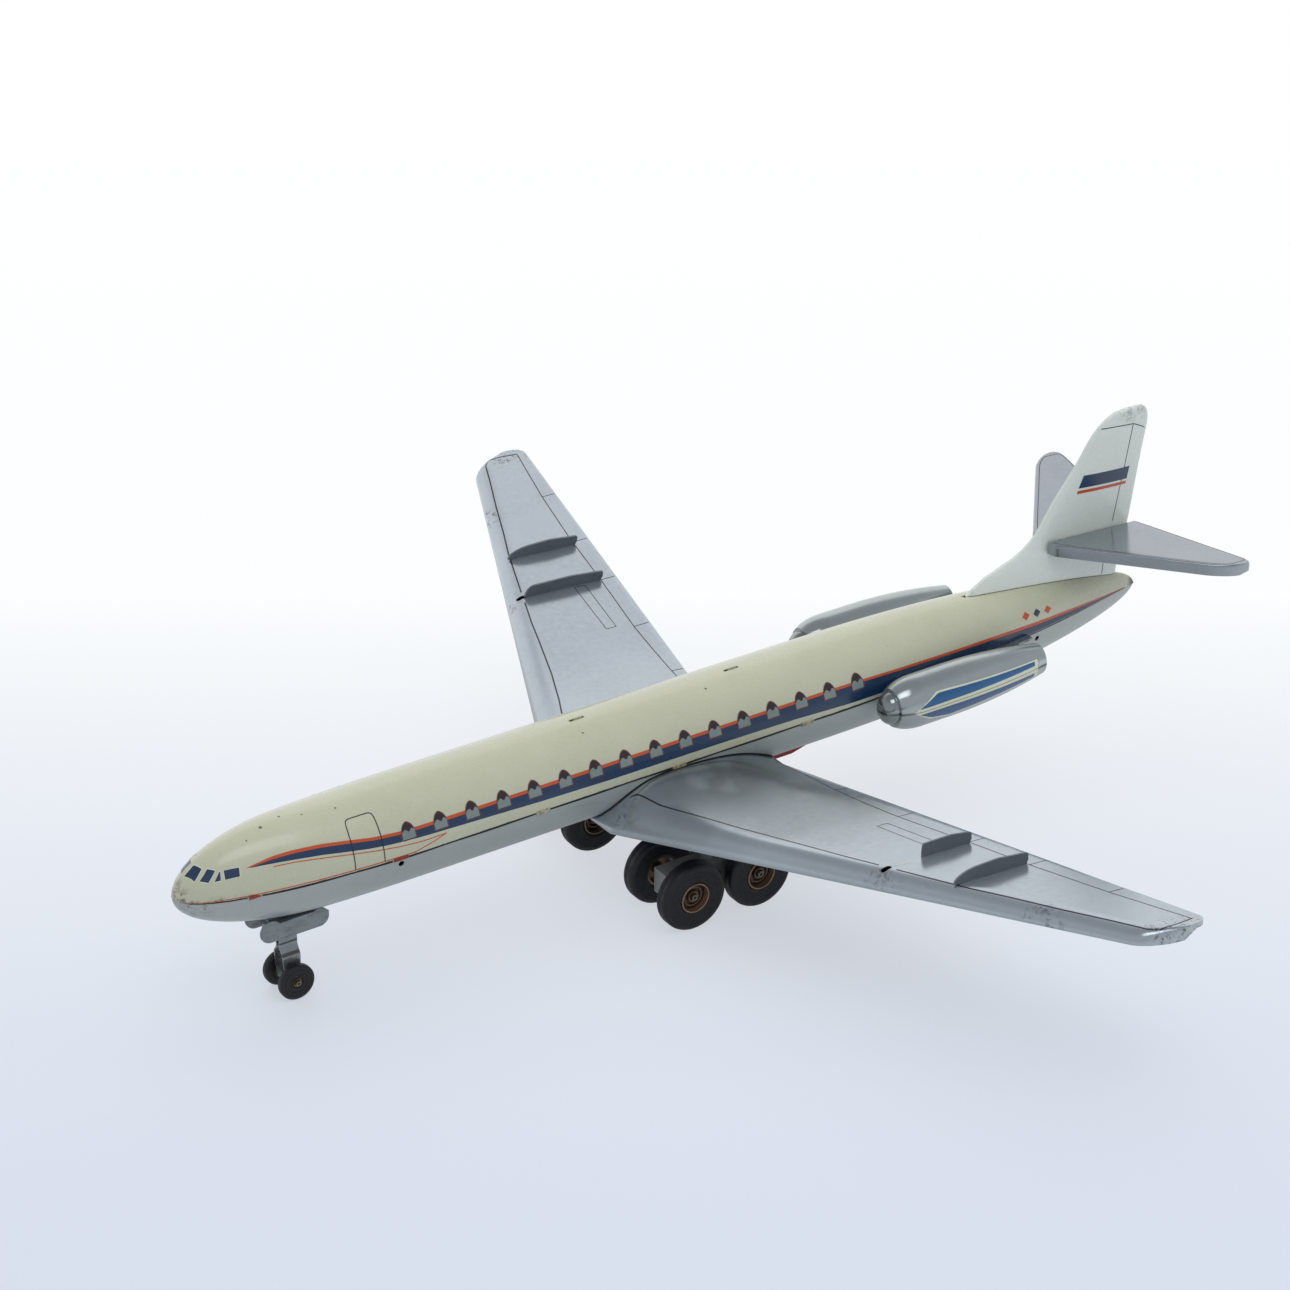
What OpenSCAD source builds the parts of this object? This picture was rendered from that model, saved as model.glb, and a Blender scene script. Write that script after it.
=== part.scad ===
// Tin toy airliner with a rear-engined layout, pressed from thin printed sheet.
// It holds a friction drive under the belly, between two four-wheel bogies.
// +X points to the nose, +Y to the left wing, and the wheels stand on z = 0.
// Stations along X are counted from a datum under the wing, then shifted at the end.

/* [Sheet] */
// Thickness of the pressed sheet in every shell
sheet_t = 0.5; // [0.3:0.05:0.8]
// Gap left where two fixed pressings meet
seam_gap = 0.1; // [0.05:0.05:0.2]
// Gap between a turning part and its neighbour
turn_gap = 0.3; // [0.2:0.05:0.5]
// Radial play of a shaft in its hole
shaft_play = 0.05; // [0.02:0.01:0.09]

/* [Fuselage] */
// Radius of the round middle of the fuselage
fuselage_r = 23.25; // [21:0.25:25]
// Height of the fuselage centre line above the floor
fuselage_z = 62; // [60:0.5:66]
// Station of the nose tip
nose_x = 250; // [235:1:265]
// Station of the end of the tail cone
tail_x = -250; // [-265:1:-245]
// Station where the sides start to draw in to the nose
nose_side_x = 140; // [125:1:150]
// Station where the top starts to curve down to the nose
nose_brow_x = 199; // [185:1:210]
// Station where the belly starts to curve up to the nose
nose_chin_x = 181; // [175:1:190]
// Station where the sides start to draw in to the tail
tail_side_x = -60; // [-66:1:-50]
// Station where the top starts to fall to the tail
tail_back_x = -90; // [-100:1:-80]
// Station where the belly starts to rise to the tail
tail_belly_x = -100; // [-110:1:-80]
// How sharply the tail draws in
tail_power = 1.88; // [1.7:0.02:2.1]
// Half thickness left at the very end of the tail
tail_end_half = 0.9; // [0.7:0.1:1.4]
// Step by which the top shell laps outside the bottom shell
shell_lap = 0.35; // [0.2:0.05:0.6]
// Length of a fastening tab along the seam
tab_len = 7; // [3:0.5:8]
// How far a tab reaches down over the bottom shell
tab_drop = 1.7; // [1.5:0.1:3.5]
// Distance between two fastening tabs
tab_pitch = 68; // [50:2:70]
// Radius of the locating holes in the bottom shell
locating_hole_r = 1.3; // [1:0.1:2.2]

/* [Wing] */
// Distance of the wing tip from the centre line
wing_half_span = 256; // [240:0.5:270]
// Height of the flat wing top at the datum
wing_z = 44; // [42:0.5:46]
// Rise of the wing per millimetre forward
wing_incidence = 0.0638; // [0.04:0.002:0.08]
// Rise of the wing per millimetre outward
wing_dihedral = 0.1423; // [0.12:0.002:0.16]
// Station of the leading edge, drawn on to the centre line
wing_lead_x = 67; // [64:0.5:72]
// Sweep of the leading edge per millimetre outward
wing_lead_sweep = 0.44; // [0.4:0.01:0.48]
// Station of the trailing edge, drawn on to the centre line
wing_trail_x = -29.6; // [-34:0.2:-28]
// Sweep of the trailing edge per millimetre outward
wing_trail_sweep = 0.172; // [0.15:0.002:0.2]
// Depth of the rounded leading edge at the root
wing_root_depth = 11; // [9:0.2:12]
// Depth of the rounded leading edge at the tip
wing_tip_depth = 6.4; // [5:0.2:7.4]
// Depth of the trailing edge
wing_trail_depth = 2.4; // [1.8:0.1:3]
// Height of the swelling where the wing meets the fuselage
wing_crown = 11.8; // [8:0.2:13]
// Width over which that swelling fades outward
wing_crown_span = 65; // [50:1:80]
// Rounding length of the leading edge on the flat wing
wing_nose_len = 9; // [7:0.5:11]

/* [Wing fences] */
// Distance of the inner fence from the centre line
inner_fence_y = 140.5; // [125:0.5:150]
// Distance of the outer fence from the centre line
outer_fence_y = 171; // [160:0.5:185]
// Length of the left inner fence, cut short
short_fence_len = 25.5; // [22:0.5:30]
// Length of the right inner fence
inner_fence_len = 42.5; // [36:0.5:46]
// Length of the outer fences
outer_fence_len = 38; // [32:0.5:42]
// Height of a fence above the wing
fence_h = 6; // [4:0.25:8]
// Height of a fence at its rear end
fence_rear_h = 4.8; // [3.5:0.1:6]
// Thickness of a fence
fence_t = 1; // [0.6:0.1:1.4]
// Distance from the trailing edge to the rear of a fence
fence_rear_gap = 8; // [6:0.5:10]

/* [Tail] */
// Height of the fin top above the fuselage centre line
fin_h = 92.3; // [84:0.5:100]
// Half thickness of the fin at its foot
fin_foot_half = 3.2; // [2.6:0.1:4]
// Half thickness of the fin at its tip
fin_tip_half = 1.5; // [1.2:0.1:2]
// Height of the tailplane at its datum above the fuselage centre line
tailplane_rise = 35.9; // [33:0.1:37]
// Distance of the tailplane tip from the centre line
tailplane_half_span = 69; // [62:0.5:76]
// Depth of the turned-down rim of the tailplane
tailplane_rim = 5.6; // [3.6:0.2:6.4]

/* [Engines] */
// Distance of the nacelle centre line from the round side of the fuselage
nacelle_stand = 10.45; // [9.9:0.05:12.6]
// Largest half height of a nacelle
nacelle_r = 12.2; // [11:0.1:12.6]
// Width of a nacelle as a share of its height
nacelle_flat = 0.88; // [0.8:0.01:0.92]
// Station of the nacelle front
nacelle_front_x = -78.2; // [-82:0.2:-74]
// Length of a nacelle
nacelle_len = 88.5; // [84:0.5:92]
// Half height of the open rear end
nacelle_end_r = 7.2; // [6:0.1:8.4]
// Thickness of the flat pylon strip
pylon_t = 1.2; // [0.8:0.1:1.6]

/* [Wheels] */
// Radius of the main tyres
tyre_r = 15.8; // [15:0.1:16.6]
// Width of the main tyres
tyre_w = 8; // [7:0.25:9]
// Radius of the main hubs
hub_r = 7.1; // [6:0.1:8]
// Radius of the wheel shafts
axle_r = 1.5; // [1.2:0.05:1.8]
// Station of the front main axles
front_axle_x = 33.1; // [32.6:0.1:36]
// Station of the rear main axles
rear_axle_x = -1.1; // [-4:0.1:-0.6]
// Distance of a bogie's middle from the centre line
bogie_y = 38.4; // [37.5:0.1:41]
// Distance between the middles of the two wheels on an axle
wheel_spread = 25.6; // [24:0.2:26]

/* [Nose gear] */
// Radius of the nose wheels
nose_wheel_r = 8.1; // [7.5:0.1:8.8]
// Width of the nose wheels
nose_wheel_w = 3.6; // [3:0.1:4.4]
// Station of the steering rivet
steer_x = 201.5; // [196:0.5:206]
// Distance of the nose axle behind the steering rivet
nose_trail = 1.5; // [0:0.5:2]
// Half width of the nose strut at its arms
strut_half = 4.1; // [3.8:0.1:4.4]
// Half width of the nose strut at its neck
neck_half = 1.7; // [1.4:0.1:2.4]
// Length of the nose strut along X
strut_len = 8.2; // [7.4:0.2:9.2]

/* [Friction drive] */
// Tooth module of the gears
gear_module = 0.8; // [0.75:0.01:0.82]
// Width of a gear
gear_w = 2.4; // [2:0.1:2.6]
// Half distance between the drive frame's walls
frame_half = 8.5; // [8.4:0.1:9.2]
// Wall thickness of the drive frame
frame_t = 0.8; // [0.6:0.1:1]
// How far the frame's flat underside stands out below the belly
frame_drop = 0.6; // [0.4:0.1:2]
// Station of the frame's rear end
frame_rear_x = -57; // [-62:0.5:-50]
// Station of the frame's front end
frame_front_x = 34; // [28:0.5:40]
// Station of the driving axle
drive_x = -8; // [-9:0.5:-7]
// Radius of the flywheel
flywheel_r = 13.4; // [11:0.1:13.6]
// Width of the flywheel
flywheel_w = 7.6; // [6:0.1:8]
// Width of a driving wheel
drive_wheel_w = 6; // [5:0.2:6.4]

/* [Hidden] */
$fn = 64;

cream = "#c9cbb0";
silver = "#a9b0b4";
fin_white = "#d9ddd6";
dark_tin = "#5a6068";
rubber = "#26282c";
lacquer = "#8a5a3a";
bare_steel = "#b4b6b8";
red_paint = "#8e1c1c";
brass = "#c8a050";

// Height at which the seam between the two fuselage shells lies
seam_z = fuselage_z;
// Widths along the tailplane datum and its slopes, in the toy's own frame
tailplane_datum_x = -220;
tailplane_incidence = 0.06;
tailplane_dihedral = 0.066;
tailplane_root_x = -194.5;
tailplane_root_chord = 52.5;
tailplane_lead_corner = [9, 7];
tailplane_trail_corner = [5, 4];
tailplane_lead_sweep = 0.83;
tailplane_trail_sweep = 0.2;

arc_steps = 20;
end_steps = 12;

// Quarter ellipse that falls from 1 at its start to 0 at its end
function quarter(x, start, end) = sqrt(max(0, 1 - pow((x - start) / (end - start), 2)));

// Half width, height above and depth below the centre line of the fuselage at a station
function half_width(x) =
    x > nose_side_x ? fuselage_r * quarter(x, nose_side_x, nose_x)
    : x < tail_side_x
    ? tail_end_half + (fuselage_r - tail_end_half)
        * (1 - pow((tail_side_x - x) / (tail_side_x - tail_x), tail_power))
    : fuselage_r;
function top_height(x) =
    x > nose_brow_x ? fuselage_r * quarter(x, nose_brow_x, nose_x)
    : x < tail_back_x ? fuselage_r * quarter(x, tail_back_x, tail_x)
    : fuselage_r;
function belly_depth(x) =
    x > nose_chin_x ? fuselage_r * quarter(x, nose_chin_x, nose_x)
    : x < tail_belly_x ? fuselage_r * quarter(x, tail_belly_x, tail_x)
    : fuselage_r;

// Stations from tail to nose, closer together towards the rounded ends
nose_turn = 87;
tail_turn = 84;
function fuselage_stations() = concat(
    [for (i = [end_steps:-1:0]) tail_side_x + (tail_x - tail_side_x) * sin(tail_turn * i / end_steps)],
    [for (i = [0:end_steps]) nose_side_x + (nose_x - nose_side_x) * sin(nose_turn * i / end_steps)]);

// One half ring of a shell: side is 1 over the top and -1 under the belly
function half_ring(x, side, inset) =
    let (height = side > 0 ? top_height(x) : belly_depth(x))
    [for (i = [0:arc_steps])
        let (turn = 180 * i / arc_steps)
        [x, (half_width(x) - inset) * cos(turn), seam_z + side * (height - inset) * sin(turn)]];

// A thin sheet between an outer and an inner grid of points, given row by row.
// Either end is closed by a wall, or left open with only the edge of the sheet.
module sheet(outer, inner, wall_first, wall_last) {
    rows = len(outer);
    cols = len(outer[0]);
    count = rows * cols;
    last = cols - 1;
    function quad(a, b, c, d) = [[a, b, c], [a, c, d]];
    function end_faces(row, wall) =
        wall
        ? concat(
            [for (j = [1:last - 1]) [row * cols, row * cols + j, row * cols + j + 1]],
            [for (j = [1:last - 1])
                [count + row * cols, count + row * cols + j + 1, count + row * cols + j]],
            quad(row * cols, row * cols + last, count + row * cols + last, count + row * cols))
        : [for (j = [0:last - 1])
            each quad(row * cols + j, row * cols + j + 1,
                count + row * cols + j + 1, count + row * cols + j)];
    function turned(faces) = [for (f = faces) [f[0], f[2], f[1]]];
    faces = concat(
        [for (i = [0:rows - 2], j = [0:cols - 2])
            each quad(i * cols + j, (i + 1) * cols + j, (i + 1) * cols + j + 1, i * cols + j + 1)],
        [for (i = [0:rows - 2], j = [0:cols - 2])
            each quad(count + i * cols + j, count + i * cols + j + 1,
                count + (i + 1) * cols + j + 1, count + (i + 1) * cols + j)],
        [for (i = [0:rows - 2])
            each quad(i * cols, count + i * cols, count + (i + 1) * cols, (i + 1) * cols)],
        [for (i = [0:rows - 2])
            each quad(i * cols + last, (i + 1) * cols + last,
                count + (i + 1) * cols + last, count + i * cols + last)],
        end_faces(0, wall_first),
        turned(end_faces(rows - 1, wall_last)));
    polyhedron([for (row = outer) each row, for (row = inner) each row], faces, convexity = 6);
}

// The same grid pressed from the other side of a mirror plane keeps its faces outward
function reversed(grid) = [for (row = grid) [for (j = [len(row) - 1:-1:0]) row[j]]];
// The same grid with its rows in the opposite order
function upended(grid) = [for (i = [len(grid) - 1:-1:0]) grid[i]];

// Half a fuselage tube with both ends closed. The inner skin stops short of the tips.
module fuselage_half(side, lap) {
    stations = fuselage_stations();
    middle = (nose_x + tail_x) / 2;
    squeeze = 1 - 2.4 * sheet_t / (nose_x - middle);
    outer = [for (x = stations) half_ring(x, side, lap)];
    inner = [for (x = stations)
        [for (p = half_ring(x, side, lap + sheet_t)) [middle + (x - middle) * squeeze, p[1], p[2]]]];
    if (side > 0) sheet(outer, inner, true, true);
    else sheet(reversed(outer), reversed(inner), true, true);
}

// Tabs of the top shell that fold over the seam on both sides
tab_count = 4;
tab_first_x = -47;
tab_round = 0.9;
module seam_tabs() {
    for (i = [0:tab_count - 1], side = [-1, 1])
        let (x = tab_first_x + i * tab_pitch,
            turn = atan((half_width(x - tab_len / 2) - half_width(x + tab_len / 2)) / tab_len))
        translate([x, side * (half_width(x) + (sheet_t - shell_lap) / 2), seam_z])
            rotate([0, 0, -side * turn]) rotate([90, 0, 0])
            linear_extrude(sheet_t, center = true) hull() {
                translate([-tab_len / 2, 0]) square([tab_len, sheet_t]);
                for (end = [-1, 1]) translate([end * (tab_len / 2 - tab_round), tab_round - tab_drop])
                    circle(tab_round, $fn = 24);
            }
}

// Slots on the spine, each given as a station and a length. The last one lies ahead of the fin.
spine_slots = [[54, 7], [-25.5, 7], [-149.8, 3]];
spine_slot_w = 1.2;
// A small lug, bent up out of the sheet, stands beside each of the first two slots
spine_lug = [4.6, 0.6, 0.9];
module fuselage_top_shell() {
    color(cream) difference() {
        union() {
            fuselage_half(1, 0);
            seam_tabs();
            for (i = [0, 1])
                translate([spine_slots[i][0] + (spine_slots[i][1] - spine_lug[0]) / 2,
                    spine_slot_w / 2, fuselage_z + fuselage_r - spine_lug[2] / 2])
                    cube(spine_lug);
        }
        for (s = spine_slots)
            translate([s[0], -spine_slot_w / 2, fuselage_z + top_height(s[0]) - 4 * sheet_t])
                cube([s[1], spine_slot_w, 8 * sheet_t]);
    }
}

// Places of the round locating holes, given as a station and a height below the seam
locating_holes = [[157, 3.3], [-183.3, 4.2]];
module fuselage_bottom_shell() {
    color(silver) difference() {
        translate([0, 0, -seam_gap / 2]) fuselage_half(-1, shell_lap);
        translate([frame_rear_x - seam_gap, -frame_out - seam_gap, frame_z])
            cube([frame_front_x - frame_rear_x + 2 * seam_gap, 2 * (frame_out + seam_gap), fuselage_r]);
        for (h = locating_holes)
            translate([h[0], 0, seam_z - h[1]]) rotate([90, 0, 0])
                cylinder(r = locating_hole_r, h = 2 * fuselage_r, center = true, $fn = 24);
        translate([steer_x, 0, fuselage_z - fuselage_r])
            cylinder(r = rivet_head_r + turn_gap, h = fuselage_r / 2, center = true, $fn = 24);
    }
}

// How strongly the root swelling acts at a distance from the centre line, from 1 to 0
function crown_fade(y) = pow(max(0, 1 - (y - fuselage_r) / wing_crown_span), 2);

// Straight edges of the wing, rounded off into the tip by a part of an ellipse whose
// size is given along the span and along the chord
lead_corner = [10, 16];
trail_corner = [5, 7];
function corner_round(y, end, corner) =
    let (start = end - corner[0])
    y < start ? 0 : corner[1] * (1 - sqrt(max(0, 1 - pow((y - start) / corner[0], 2))));
function wing_lead(y) =
    wing_lead_x - wing_lead_sweep * y - corner_round(y, wing_half_span, lead_corner);
function wing_trail(y) =
    wing_trail_x - wing_trail_sweep * y + corner_round(y, wing_half_span, trail_corner);
function wing_plane(x, y) = wing_z + wing_incidence * x + wing_dihedral * y;
function lead_depth(y) = wing_root_depth
    + (wing_tip_depth - wing_root_depth) * (y - fuselage_r) / (wing_half_span - fuselage_r);

// The flat bottom runs from the low leading edge to the trailing edge
function wing_bottom(x, y) =
    let (back = (wing_lead(y) - x) / (wing_lead(y) - wing_trail(y)))
    wing_plane(x, y) - lead_depth(y) + back * (lead_depth(y) - wing_trail_depth);

// Heights where the wing meets the round fuselage follow its side
function root_y(z) = sqrt(max(1, pow(fuselage_r + seam_gap, 2) - pow(z - fuselage_z, 2)));

// One section of the wing top from the lower leading edge over the top to the trailing edge
nose_steps = 5;
top_steps = 8;
function wing_section(y, inset) =
    let (lead = wing_lead(y), chord = lead - wing_trail(y), depth = lead_depth(y),
        nose = min(0.45 * chord, wing_nose_len + 14 * crown_fade(y)), fade = crown_fade(y))
    concat(
        [for (i = [0:nose_steps])
            let (turn = 90 * i / nose_steps, back = inset + (nose - inset) * (1 - cos(turn)))
            [lead - back, crown_height(back / chord, fade)
                - inset * min(1, i) - (depth - inset * min(1, i)) * (1 - sin(turn))]],
        [for (i = [1:top_steps])
            let (back = nose + (chord - inset - nose) * i / top_steps)
            [lead - back, crown_height(back / chord, fade) - inset]],
        [[lead - chord + inset, -wing_trail_depth]]);
function crown_height(share, fade) = wing_crown * fade * (1 - pow(abs(2 * share - 1), 2.7));

// Rows of the wing from the fuselage to the tip, closer together on the root swelling
wing_root_y = fuselage_r + seam_gap;
wing_shares = [0.03, 0.065, 0.107, 0.163, 0.232, 0.322, 0.494, 0.709, 0.903];
function share_y(i) = wing_root_y + wing_shares[i] * (wing_half_span - wing_root_y);
function wing_rows(inset) =
    let (root = wing_root_y, end = wing_half_span - inset,
        corner = [1, 0.7, 0.45, 0.25, 0.1, 0.02, 0])
    concat(
        [[for (p = wing_section(root, inset))
            let (z = wing_plane(p[0], root) + p[1]) [p[0], root_y(z), z]]],
        [for (i = [0:len(wing_shares) - 1]) let (y = share_y(i))
            [for (p = wing_section(y, inset)) [p[0], y, wing_plane(p[0], y) + p[1]]]],
        [for (c = corner) let (y = end - lead_corner[0] * c)
            [for (p = wing_section(min(y, wing_half_span - 0.02), inset))
                [p[0], y, wing_plane(p[0], y) + p[1]]]]);

// Turns a fence or a slot from the wing's flat top into the toy's frame
lean_y = -atan(wing_incidence);
lean_x = atan(wing_dihedral * cos(lean_y));
module on_wing() {
    translate([0, 0, wing_z]) rotate([lean_x, lean_y, 0]) children();
}
function on_wing_y(y) = y / cos(lean_x);
function on_wing_x(x, y) = (x - on_wing_y(y) * sin(lean_x) * sin(lean_y)) / cos(lean_y);

// Slots in the wing take the fences' tabs
fence_tab = [5, 1.6];
fence_tab_places = [0.3, 0.8];
module fence_slots(length) {
    for (y = [inner_fence_y, outer_fence_y], place = fence_tab_places)
        let (long = y == inner_fence_y ? length : outer_fence_len)
        translate([on_wing_x(wing_trail(y) + fence_rear_gap, y) + (1 - place) * long
            - fence_tab[0] / 2 - seam_gap, on_wing_y(y) - fence_t / 2 - seam_gap, -2])
            cube([fence_tab[0] + 2 * seam_gap, fence_t + 2 * seam_gap, 4]);
}

// Spare slot ahead of the inner fence, given as a station, a length and a width
spare_slot = [-1, 4.6, 2];
module wing_top(inner_length) {
    color(silver) difference() {
        sheet(reversed(wing_rows(0)), reversed(wing_rows(sheet_t)), false, true);
        on_wing() union() {
            fence_slots(inner_length);
            translate([on_wing_x(spare_slot[0], inner_fence_y), on_wing_y(inner_fence_y), 0])
                cube([spare_slot[1], spare_slot[2], 4], center = true);
        }
    }
}

// Bottom sheet, let in between the rims of the wing top
bottom_steps = 8;
bottom_lift = 0.15;
bottom_tip_gap = 1.2;
function bottom_row(y, lift) =
    let (end = min(y, wing_half_span - bottom_tip_gap),
        front = wing_lead(end) - sheet_t - seam_gap, rear = wing_trail(end) + sheet_t + seam_gap)
    [for (i = [0:bottom_steps])
        let (x = front + (rear - front) * i / bottom_steps, z = wing_bottom(x, y) + lift)
        [x, y, z]];
module wing_bottom_sheet() {
    root = wing_root_y;
    spans = [for (i = [0, 2, 4, 6, 7, 8]) share_y(i)];
    ends = [for (c = [1, 0.6, 0.3, 0.12]) wing_half_span - lead_corner[0] * c];
    function rows(lift) = concat(
        [[for (p = bottom_row(root, lift)) [p[0], root_y(p[2]), p[2]]]],
        [for (y = concat(spans, ends)) bottom_row(y, lift)]);
    color(silver) sheet(rows(bottom_lift), rows(bottom_lift + sheet_t), false, false);
}

// Upright strip held by two tabs. The front curves up over the length given as its rise.
outer_fence_rise = 15;
inner_fence_rise = 5;
short_fence_rise = 1.2;
module fence(y, length, rise) {
    rear = on_wing_x(wing_trail(y) + fence_rear_gap, y);
    corner = 1.8;
    color(dark_tin) on_wing()
        translate([rear, on_wing_y(y) + fence_t / 2, seam_gap / 2]) rotate([90, 0, 0]) union() {
            linear_extrude(fence_t) polygon(concat(
                [[0, corner], [0.5 * corner, 0], [length, 0]],
                [for (i = [1:6]) let (turn = 15 * i)
                    [length - rise * (1 - cos(turn)), (fence_h - 0.4) * sin(turn)]],
                [[0.4 * length, fence_h], [0.6, fence_rear_h], [0, fence_rear_h - 0.6]]));
            for (place = fence_tab_places)
                translate([(1 - place) * length - fence_tab[0] / 2, -fence_tab[1], 0])
                    cube([fence_tab[0], fence_tab[1] + 0.5, fence_t]);
        }
}

nacelle_y = fuselage_r + nacelle_stand;

// Half height of a nacelle: a domed intake set inside the cowl, then the long taper
dome_len = 6.3;
dome_share = 0.62;
cowl_len = 20;
taper_start = 37;
function nacelle_radius(back) =
    back < dome_len
    ? nacelle_r * dome_share * sqrt(max(0.012, 1 - pow((dome_len - back) / dome_len, 2)))
    : back < cowl_len
    ? nacelle_r * sqrt(1 - 0.46 * pow((cowl_len - back) / (cowl_len - dome_len), 2.4))
    : back < taper_start ? nacelle_r
    : nacelle_r - (nacelle_r - nacelle_end_r)
        * pow((back - taper_start) / (nacelle_len - taper_start), 2);
nacelle_stations = concat(
    [0, 0.05, 0.15, 0.3, 0.55, 0.99] * dome_len,
    [for (i = [0:5]) dome_len + 0.01 + (cowl_len - dome_len) * i / 5],
    [for (i = [1:7]) cowl_len + (nacelle_len - cowl_len) * i / 7]);
nacelle_steps = 12;
function nacelle_rows(side, inset) =
    [for (k = [len(nacelle_stations) - 1:-1:0])
        let (back = nacelle_stations[k], tall = nacelle_radius(back) - inset,
            wide = nacelle_flat * nacelle_radius(back) - inset,
            x = nacelle_front_x - max(back, 2 * inset))
        [for (i = [0:nacelle_steps])
            let (turn = 180 * i / nacelle_steps)
            [x, nacelle_y + wide * cos(turn), seam_z + side * (seam_gap / 2 + tall * sin(turn))]]];
module nacelle_half(side) {
    color(silver)
        if (side > 0) sheet(nacelle_rows(side, 0), nacelle_rows(side, 0.9 * sheet_t), false, true);
        else sheet(reversed(nacelle_rows(side, 0)),
            reversed(nacelle_rows(side, 0.9 * sheet_t)), false, true);
}

// Flat strip that carries a nacelle on the fuselage side. Its tail end shows as a stub.
pylon_front_back = 24;
pylon_stub_back = 98;
pylon_stub = 3.4;
module engine_pylon() {
    steps = 8;
    inner = [for (i = [0:steps])
        let (x = nacelle_front_x - pylon_front_back - (pylon_stub_back - pylon_front_back) * i / steps)
        [x, half_width(x) + seam_gap]];
    outer = [for (i = [steps:-1:0])
        let (back = pylon_front_back + (nacelle_len - pylon_front_back) * i / steps)
        [nacelle_front_x - back, nacelle_y - nacelle_flat * nacelle_radius(back) - seam_gap]];
    stub_front = nacelle_front_x - nacelle_len - 0.5;
    stub_end = nacelle_front_x - pylon_stub_back;
    color(silver) translate([0, 0, seam_z - pylon_t / 2]) linear_extrude(pylon_t)
        polygon(concat(inner, [[stub_end, half_width(stub_end) + pylon_stub],
            [stub_front, half_width(stub_front) + pylon_stub]], outer));
}

// Outline of the fin: for each level, the height above the centre line and both edges
fin_levels = [
    [0.3, -161.3, -240.5], [0.34, -172.2, -242.2], [0.375, -180.5, -243.6],
    [0.453, -189.6, -244.9], [0.607, -199.4, -247.1], [0.769, -211.2, -249.6],
    [0.893, -219, -251.6], [0.955, -225, -251.2], [0.99, -231.2, -248.6], [1, -235.5, -244]];
fin_foot_front_x = -150.6;
fin_foot_rear_x = -238;
fin_steps = 12;
function fin_half(level) = fin_foot_half + (fin_tip_half - fin_foot_half) * level;
function fin_bulge(share) = 0.25 + 0.75 * pow(sin(180 * share), 0.55);

// The foot of the fin rests on the top shell at its own half thickness
function fin_foot_z(x, y) =
    fuselage_z + seam_gap + top_height(x) * sqrt(max(0, 1 - pow(y / half_width(x), 2)));
function fin_rows(inset) = concat(
    [[for (i = [0:fin_steps])
        let (share = i / fin_steps, x = fin_foot_front_x + (fin_foot_rear_x - fin_foot_front_x) * share,
            y = fin_foot_half * fin_bulge(share) - inset)
        [x, y, fin_foot_z(x, y)]]],
    [for (level = fin_levels)
        [for (i = [0:fin_steps])
            let (share = i / fin_steps, x = level[1] + (level[2] - level[1]) * share)
            [x, fin_half(level[0]) * fin_bulge(share) - inset,
                fuselage_z + fin_h * level[0]]]]);

// Each half is a shallow pressing whose flat rim lies on the middle plane
module fin_half_shell() {
    outer = fin_rows(0);
    middle = [for (row = outer)
        [for (i = [0:len(row) - 1])
            let (edge = i == 0 || i == len(row) - 1)
            [row[i][0], edge ? row[i][1] : max(row[i][1] - sheet_t, 0.2), row[i][2]]]];
    color(fin_white) sheet(
        upended(reversed([for (row = outer) concat([[row[0][0], seam_gap / 2, row[0][2]]], row,
            [[row[len(row) - 1][0], seam_gap / 2, row[len(row) - 1][2]]])])),
        upended(reversed([for (row = middle) let (last = len(row) - 1) concat(
            [[row[0][0] - sheet_t, seam_gap / 2, row[0][2]]],
            [[row[0][0] - sheet_t, row[1][1], row[0][2]]],
            [for (i = [1:last - 1]) row[i]],
            [[row[last][0] + sheet_t, row[last - 1][1], row[last][2]]],
            [[row[last][0] + sheet_t, seam_gap / 2, row[last][2]]])])), false, false);
}

// Slightly tilted plane of the tailplane top
function tailplane_top(x, y) = fuselage_z + tailplane_rise
    + tailplane_incidence * (x - tailplane_datum_x) + tailplane_dihedral * y;
tailplane_root_y = fin_foot_half + seam_gap;
function tailplane_lead(y) =
    let (out = y - tailplane_root_y)
    tailplane_root_x - tailplane_lead_sweep * max(0, out - 5) - 0.02 * pow(min(out, 5), 2)
        - corner_round(y, tailplane_half_span, tailplane_lead_corner);
function tailplane_trail(y) =
    tailplane_root_x - tailplane_root_chord - tailplane_trail_sweep * (y - tailplane_root_y)
        + corner_round(y, tailplane_half_span, tailplane_trail_corner);
function tailplane_section(y, inset) =
    let (lead = tailplane_lead(y) - inset, trail = tailplane_trail(y) + inset, round = 1.4 - inset)
    concat(
        [[lead, -tailplane_rim]],
        [for (i = [0:3]) let (turn = 30 * i)
            [lead - round * (1 - cos(turn)), -inset - round * (1 - sin(turn))]],
        [for (i = [3:-1:0]) let (turn = 30 * i)
            [trail + round * (1 - cos(turn)), -inset - round * (1 - sin(turn))]],
        [[trail, -tailplane_rim + 1]]);
function tailplane_rows(inset) =
    let (span = tailplane_half_span - inset - tailplane_root_y)
    [for (share = [0, 0.04, 0.08, 0.3, 0.6, 0.87, 0.92, 0.96, 0.985, 1])
        let (y = tailplane_root_y + span * share)
        [for (p = tailplane_section(min(y, tailplane_half_span - 0.05), inset))
            [p[0], y, tailplane_top(p[0], y) + p[1]]]];
module tailplane_half() {
    color(silver)
        sheet(upended(tailplane_rows(0)), upended(tailplane_rows(sheet_t)), true, true);
}

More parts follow.
